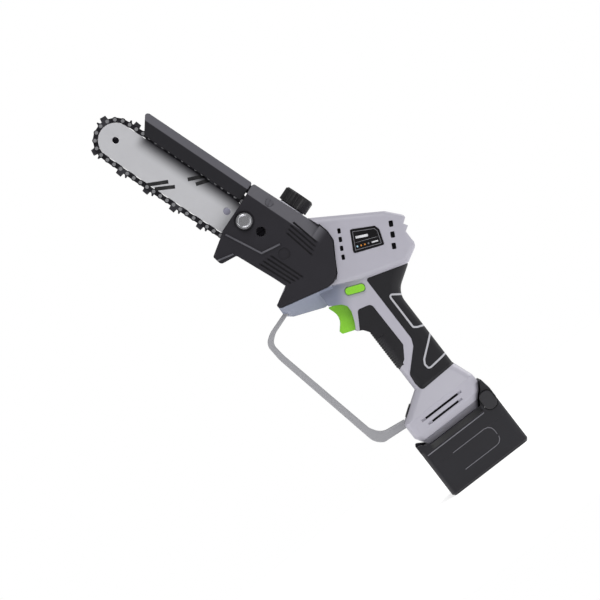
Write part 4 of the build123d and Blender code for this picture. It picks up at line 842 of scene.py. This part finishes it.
@dataclass
class Shell:
    """Two-part housing, hand hoop, label, indicator, and painted shade in the battery shoe's slots, behind
    the vents and along the cover's gap.
    """

    head_face: float = -20.7
    foot_face: float = 26.8
    ink_rise: float = 0.06
    border_width: float = 0.4
    gap_face: float = -20.5
    gap_width: float = 0.8
    gap_rise: float = 0.04
    vent_face: float = 17.9
    vent_width: float = 6.5
    slot_width: float = 1.7
    shade_rise: float = 0.1
    finishes: dict = field(default_factory=lambda: {
        "left_housing": Finish.SHELL_ABS, "right_housing": Finish.SHELL_ABS, "hand_guard": Finish.HOOP_NYLON,
        "housing_screws": Finish.BOLT_ZINC, "label_plate": Finish.LABEL_FOIL,
        "indicator_frame": Finish.BEZEL_ACRYLIC, "indicator_lens": Finish.LENS_ACRYLIC,
    })
    label_edge: tuple = ((27.0, 215.5), (42.4, 207.0), (43.1, 204.0), (39.7, 194.5), (20.1, 202.4))
    label_marks: tuple = (
        (((26.2, 210.4), (35.2, 206.0)), 2.0, Finish.PRINT_WHITE),
        (((23.6, 207.2), (40.6, 200.4)), 0.35, Finish.PRINT_GREY),
        (((22.5, 204.1), (23.6, 203.7)), 1.3, Finish.PRINT_BLUE),
        (((25.4, 202.9), (26.5, 202.5)), 1.3, Finish.PRINT_AMBER),
        (((28.2, 201.8), (29.3, 201.4)), 1.3, Finish.PRINT_AMBER),
        (((31.0, 200.7), (32.1, 200.3)), 1.2, Finish.PRINT_GREY),
        (((34.0, 199.6), (39.0, 197.6)), 1.2, Finish.PRINT_WHITE),
    )
    slots: tuple = (((-17.2, 63.0), (14.4, 63.0)), ((-14.2, 58.0), (11.4, 58.0)))
    cover_gap: tuple = (
        (9.6, 236.6), (11.5, 228.0), (11.0, 219.6), (2.2, 205.4), (-2.6, 197.0), (-6.6, 193.4),
    )
    vent_shade_paths: tuple = (((21.0, 226.0), (7.0, 200.6)), ((57.0, 205.4), (44.6, 183.0)))

    def build(self) -> None:
        """Dresses the nodes, prints the label, and paints shade along the cover's gap, in the slots and
        behind the vents.
        """
        dress(self.finishes)
        border = Bead("label_border", self.label_edge, self.border_width, self.head_face, self.ink_rise,
                      closed=True)
        lay(border.mesh(), "saw", Finish.PRINT_GREY)
        for index, (ends, width, ink) in enumerate(self.label_marks):
            mark = Bead(f"label_mark_{index}", ends, width, self.head_face, self.ink_rise)
            lay(mark.mesh(), "saw", ink)
        # A dark line on the head along the cover's edge: painted shade for the gap.
        gap = Bead("cover_gap_shade", self.cover_gap, self.gap_width, self.gap_face, self.gap_rise)
        lay(gap.mesh(), "saw", Finish.PAINTED_SHADE)
        # Dark strips just inside the vents on both flanks: painted shade.
        for side in Side:
            for index, ends in enumerate(self.vent_shade_paths):
                name = f"vent_shade_{side.name.lower()}_{index}"
                shade_strip = Bead(name, ends, self.vent_width, side.value * self.vent_face, self.shade_rise)
                lay(shade_strip.mesh(), "saw", Finish.PAINTED_SHADE)
        # Dark strips in the shoe's slots on both flanks: painted shade.
        for side in Side:
            for index, ends in enumerate(self.slots):
                name = f"shoe_slot_shade_{side.name.lower()}_{index}"
                slot_shade = Bead(name, ends, self.slot_width, side.value * self.foot_face, self.shade_rise)
                lay(slot_shade.mesh(), "saw", Finish.PAINTED_SHADE)


@dataclass
class Handle:
    """Rubber zones, light inlays, trigger and lock button."""

    finishes: dict = field(default_factory=lambda: {
        "front_grip": Finish.GRIP_RUBBER, "rear_grip": Finish.GRIP_RUBBER, "grip_inlays": Finish.INLAY_ABS,
        "trigger": Finish.TRIGGER_ABS, "lock_button": Finish.TRIGGER_ABS, "trigger_spring": Finish.GEAR_STEEL,
        "lock_spring": Finish.GEAR_STEEL, "switch_body": Finish.INNER_PLASTIC,
    })

    def build(self) -> None:
        """Dresses the nodes and moulds the ribs round the front grip."""
        dress(self.finishes)
        lay(RibField().mesh(), "saw", Finish.RIB_RUBBER)


@dataclass
class OilSystem:
    """Bottle, seal, ribbed cap and feed tube."""

    finishes: dict = field(default_factory=lambda: {
        "oil_tank": Finish.TANK_POLYTHENE, "oil_cap": Finish.CAP_NYLON, "cap_seal": Finish.SEAL_RUBBER,
        "oil_tube": Finish.SEAL_RUBBER,
    })

    def build(self) -> None:
        """Dresses the nodes."""
        dress(self.finishes)


@dataclass
class Drive:
    """Motor, bevel gears, shafts, bearings and the metal gear case."""

    finishes: dict = field(default_factory=lambda: {
        "bevel_gear": Finish.GEAR_STEEL, "pinion": Finish.GEAR_STEEL, "output_shaft": Finish.BOLT_ZINC,
        "output_bearings": Finish.RIVET_STEEL, "motor_bearings": Finish.RIVET_STEEL,
        "gear_case": Finish.CASE_ALUMINIUM, "gear_case_cover": Finish.CASE_ALUMINIUM,
        "gear_case_screws": Finish.BOLT_ZINC, "motor_can": Finish.BOLT_ZINC,
        "motor_end_cap": Finish.CASE_ALUMINIUM, "motor_magnets": Finish.IRON_DARK,
        "motor_shaft": Finish.RIVET_STEEL, "rotor_core": Finish.IRON_DARK,
        "rotor_windings": Finish.COPPER_WIRE, "cooling_fan": Finish.INNER_PLASTIC,
    })

    def build(self) -> None:
        """Dresses the nodes."""
        dress(self.finishes)


@dataclass
class Battery:
    """Clip-on pack: two shells, cells, contacts, latch buttons, the lines on its flanks, a painted highlight
    on the ridge and a painted shade in the recess.
    """

    flank: float = 30.0
    line_width: float = 0.6
    line_rise: float = 0.2
    ridge_width: float = 0.9
    recess_width: float = 4.2
    recess_rise: float = 0.05
    lines: tuple = (
        ((-17.0, 28.3), (14.0, 28.3), (17.0, 27.6), (19.2, 25.6), (20.0, 23.0), (20.0, 19.0)),
        ((-17.0, 12.0), (14.0, 12.0), (17.0, 12.7), (19.2, 14.7), (20.0, 17.0)),
    )
    ridge: tuple = ((-34.0, 38.6), (22.0, 38.6))
    recess_shade: tuple = ((-27.0, 42.2), (22.5, 42.2))
    finishes: dict = field(default_factory=lambda: {
        "battery_base": Finish.PACK_ABS, "battery_top": Finish.PACK_ABS, "battery_cells": Finish.CELL_SLEEVE,
        "cell_strips": Finish.CONTACT_NICKEL, "left_latch_button": Finish.LATCH_ABS,
        "right_latch_button": Finish.LATCH_ABS, "control_board": Finish.BOARD_EPOXY,
        "terminal_block": Finish.INNER_PLASTIC, "terminal_blades": Finish.CONTACT_NICKEL,
    })

    def build(self) -> None:
        """Dresses the nodes and adds on both sides the flank lines, the ridge's painted highlight and the
        recess's painted shade.
        """
        dress(self.finishes)
        for side in Side:
            face = side.value * self.flank
            tag = side.name.lower()
            for index, path in enumerate(self.lines):
                bead = Bead(f"pack_line_{tag}_{index}", path, self.line_width, face, self.line_rise)
                lay(bead.mesh(), "battery", Finish.PACK_LINE)
            # The ridge's lighter grey is a painted highlight along it.
            ridge = Bead(f"pack_ridge_{tag}", self.ridge, self.ridge_width, face, self.line_rise)
            lay(ridge.mesh(), "battery", Finish.PACK_LINE)
            # A black strip in the recess under the shoe: painted shade.
            recess_shade = Bead(f"pack_recess_shade_{tag}", self.recess_shade, self.recess_width, face, self.recess_rise)
            lay(recess_shade.mesh(), "battery", Finish.BLACK_INK_AND_SHADE)


@dataclass
class Studio:
    """Plain pale floor, soft lights, near-white surroundings and the camera.

    Each of lamps is a name, its distances to the right, up and front, its size in metres and watts.
    """

    aim: tuple = (-39.0, 0.0, 198.0)
    field_mm: float = 480.0
    lens: float = 200.0
    sensor: float = 36.0
    near_clip: float = 0.05
    far_clip: float = 60.0
    floor_radius: float = 0.7
    floor_rings: int = 6
    floor_points: int = 64
    floor_gap_mm: float = 0.02
    floor_glow: float = 0.6
    floor_roughness: float = 0.9
    floor_spread: float = 0.01
    floor_cloud_mm: float = 60.0
    lamps: tuple = (
        ("key", (-0.5, 1.5, 1.1), 1.2, 21.0),
        ("fill", (1.2, 0.1, 1.5), 1.4, 6.0),
        ("rim", (0.6, 1.3, -0.9), 0.9, 10.0),
        ("low", (-1.3, -0.7, 0.1), 0.7, 7.0),
    )

    def build(self) -> None:
        """Makes the floor, the lights, the world and the camera."""
        self.floor()
        self.world()
        self.lights()
        self.camera()

    def axes(self) -> tuple[np.ndarray, np.ndarray]:
        """The view's right and up directions in the frame's axes."""
        return np.array(VIEW_RIGHT), np.array((math.sin(ROLL), 0.0, math.cos(ROLL)))

    def floor(self) -> None:
        """Flat disc: radius r and angle a give the point (r cos a, r sin a, just under the pack)."""
        radius = np.linspace(0.0, self.floor_radius, self.floor_rings)[:, None]
        angle = np.linspace(0.0, 2 * math.pi, self.floor_points, endpoint=False)[None, :]
        level = np.full((self.floor_rings, self.floor_points), -self.floor_gap_mm * MM)
        points = np.stack([radius * np.cos(angle), radius * np.sin(angle), level], axis=-1)
        disc = grid_mesh("studio_floor", points, False, True)
        material, tree = new_material("floor_paper_white")
        position = add_node(tree, "ShaderNodeTexCoord").outputs["Object"]
        colour = mottled_colour(tree, position, "#F4F4F4", self.floor_spread, self.floor_cloud_mm)
        shader = add_node(tree, "ShaderNodeBsdfPrincipled", None,
                          {"Base Color": colour, "Roughness": self.floor_roughness,
                           "Emission Color": (1.0, 1.0, 1.0, 1.0), "Emission Strength": self.floor_glow})
        add_node(tree, "ShaderNodeOutputMaterial", None, {"Surface": shader.outputs["BSDF"]})
        disc.data.materials.append(material)

    @staticmethod
    def world() -> None:
        """White surroundings that the eye sees at full strength and that light the saw softly."""
        world = bpy.data.worlds.new("studio_white")
        world.use_nodes = True
        tree = world.node_tree
        tree.nodes.clear()
        path = add_node(tree, "ShaderNodeLightPath")
        lighting, seen = 0.26, 1.0
        strength = add_node(tree, "ShaderNodeMapRange", None,
                            {"Value": path.outputs["Is Camera Ray"], "To Min": lighting, "To Max": seen})
        glow = add_node(tree, "ShaderNodeBackground", None,
                        {"Color": (1.0, 1.0, 1.0, 1.0), "Strength": strength.outputs["Result"]})
        add_node(tree, "ShaderNodeOutputWorld", None, {"Surface": glow.outputs[0]})
        bpy.context.scene.world = world

    def lights(self) -> None:
        """Large soft lights placed by right, up and front distances from the saw, metres."""
        right, up = self.axes()
        front = np.array(TOWARDS_BAR_SIDE)
        middle = np.array(self.aim) * MM
        for name, (sideways, height, near), size, watts in self.lamps:
            data = bpy.data.lights.new(name, "AREA")
            data.size = size
            data.energy = watts
            lamp = bpy.data.objects.new(name, data)
            place = middle + right * sideways + up * height + front * near
            lamp.location = place
            lamp.rotation_mode = "QUATERNION"
            lamp.rotation_quaternion = Vector(middle - place).to_track_quat("-Z", "Y")
            bpy.context.scene.collection.objects.link(lamp)

    def camera(self) -> None:
        """Long-lens camera square to the bar's side, rolled so that the saw leans as it is held."""
        right, up = self.axes()
        data = bpy.data.cameras.new("camera")
        data.lens, data.sensor_width = self.lens, self.sensor
        data.clip_start, data.clip_end = self.near_clip, self.far_clip
        distance = self.field_mm * MM / 2 / (self.sensor / 2 / self.lens)
        eye = bpy.data.objects.new("camera", data)
        turn = np.stack([right, up, TOWARDS_BAR_SIDE], axis=1)
        eye.matrix_world = Matrix(turn.tolist()).to_4x4()
        eye.location = (self.aim[0] * MM, self.aim[1] * MM - distance, self.aim[2] * MM)
        bpy.context.scene.collection.objects.link(eye)
        bpy.context.scene.camera = eye
        bpy.context.scene.view_settings.view_transform = "Standard"


def main() -> None:
    """Builds every sub-assembly's looks in order, then the studio."""
    logging.basicConfig(level=logging.INFO, format="%(name)s: %(message)s")
    for group in (CuttingGear(), CoverAndGuard(), Shell(), Handle(), OilSystem(), Drive(), Battery()):
        LOG.info("building %s", type(group).__name__)
        group.build()
    Studio().build()


if __name__ == "__main__":
    main()
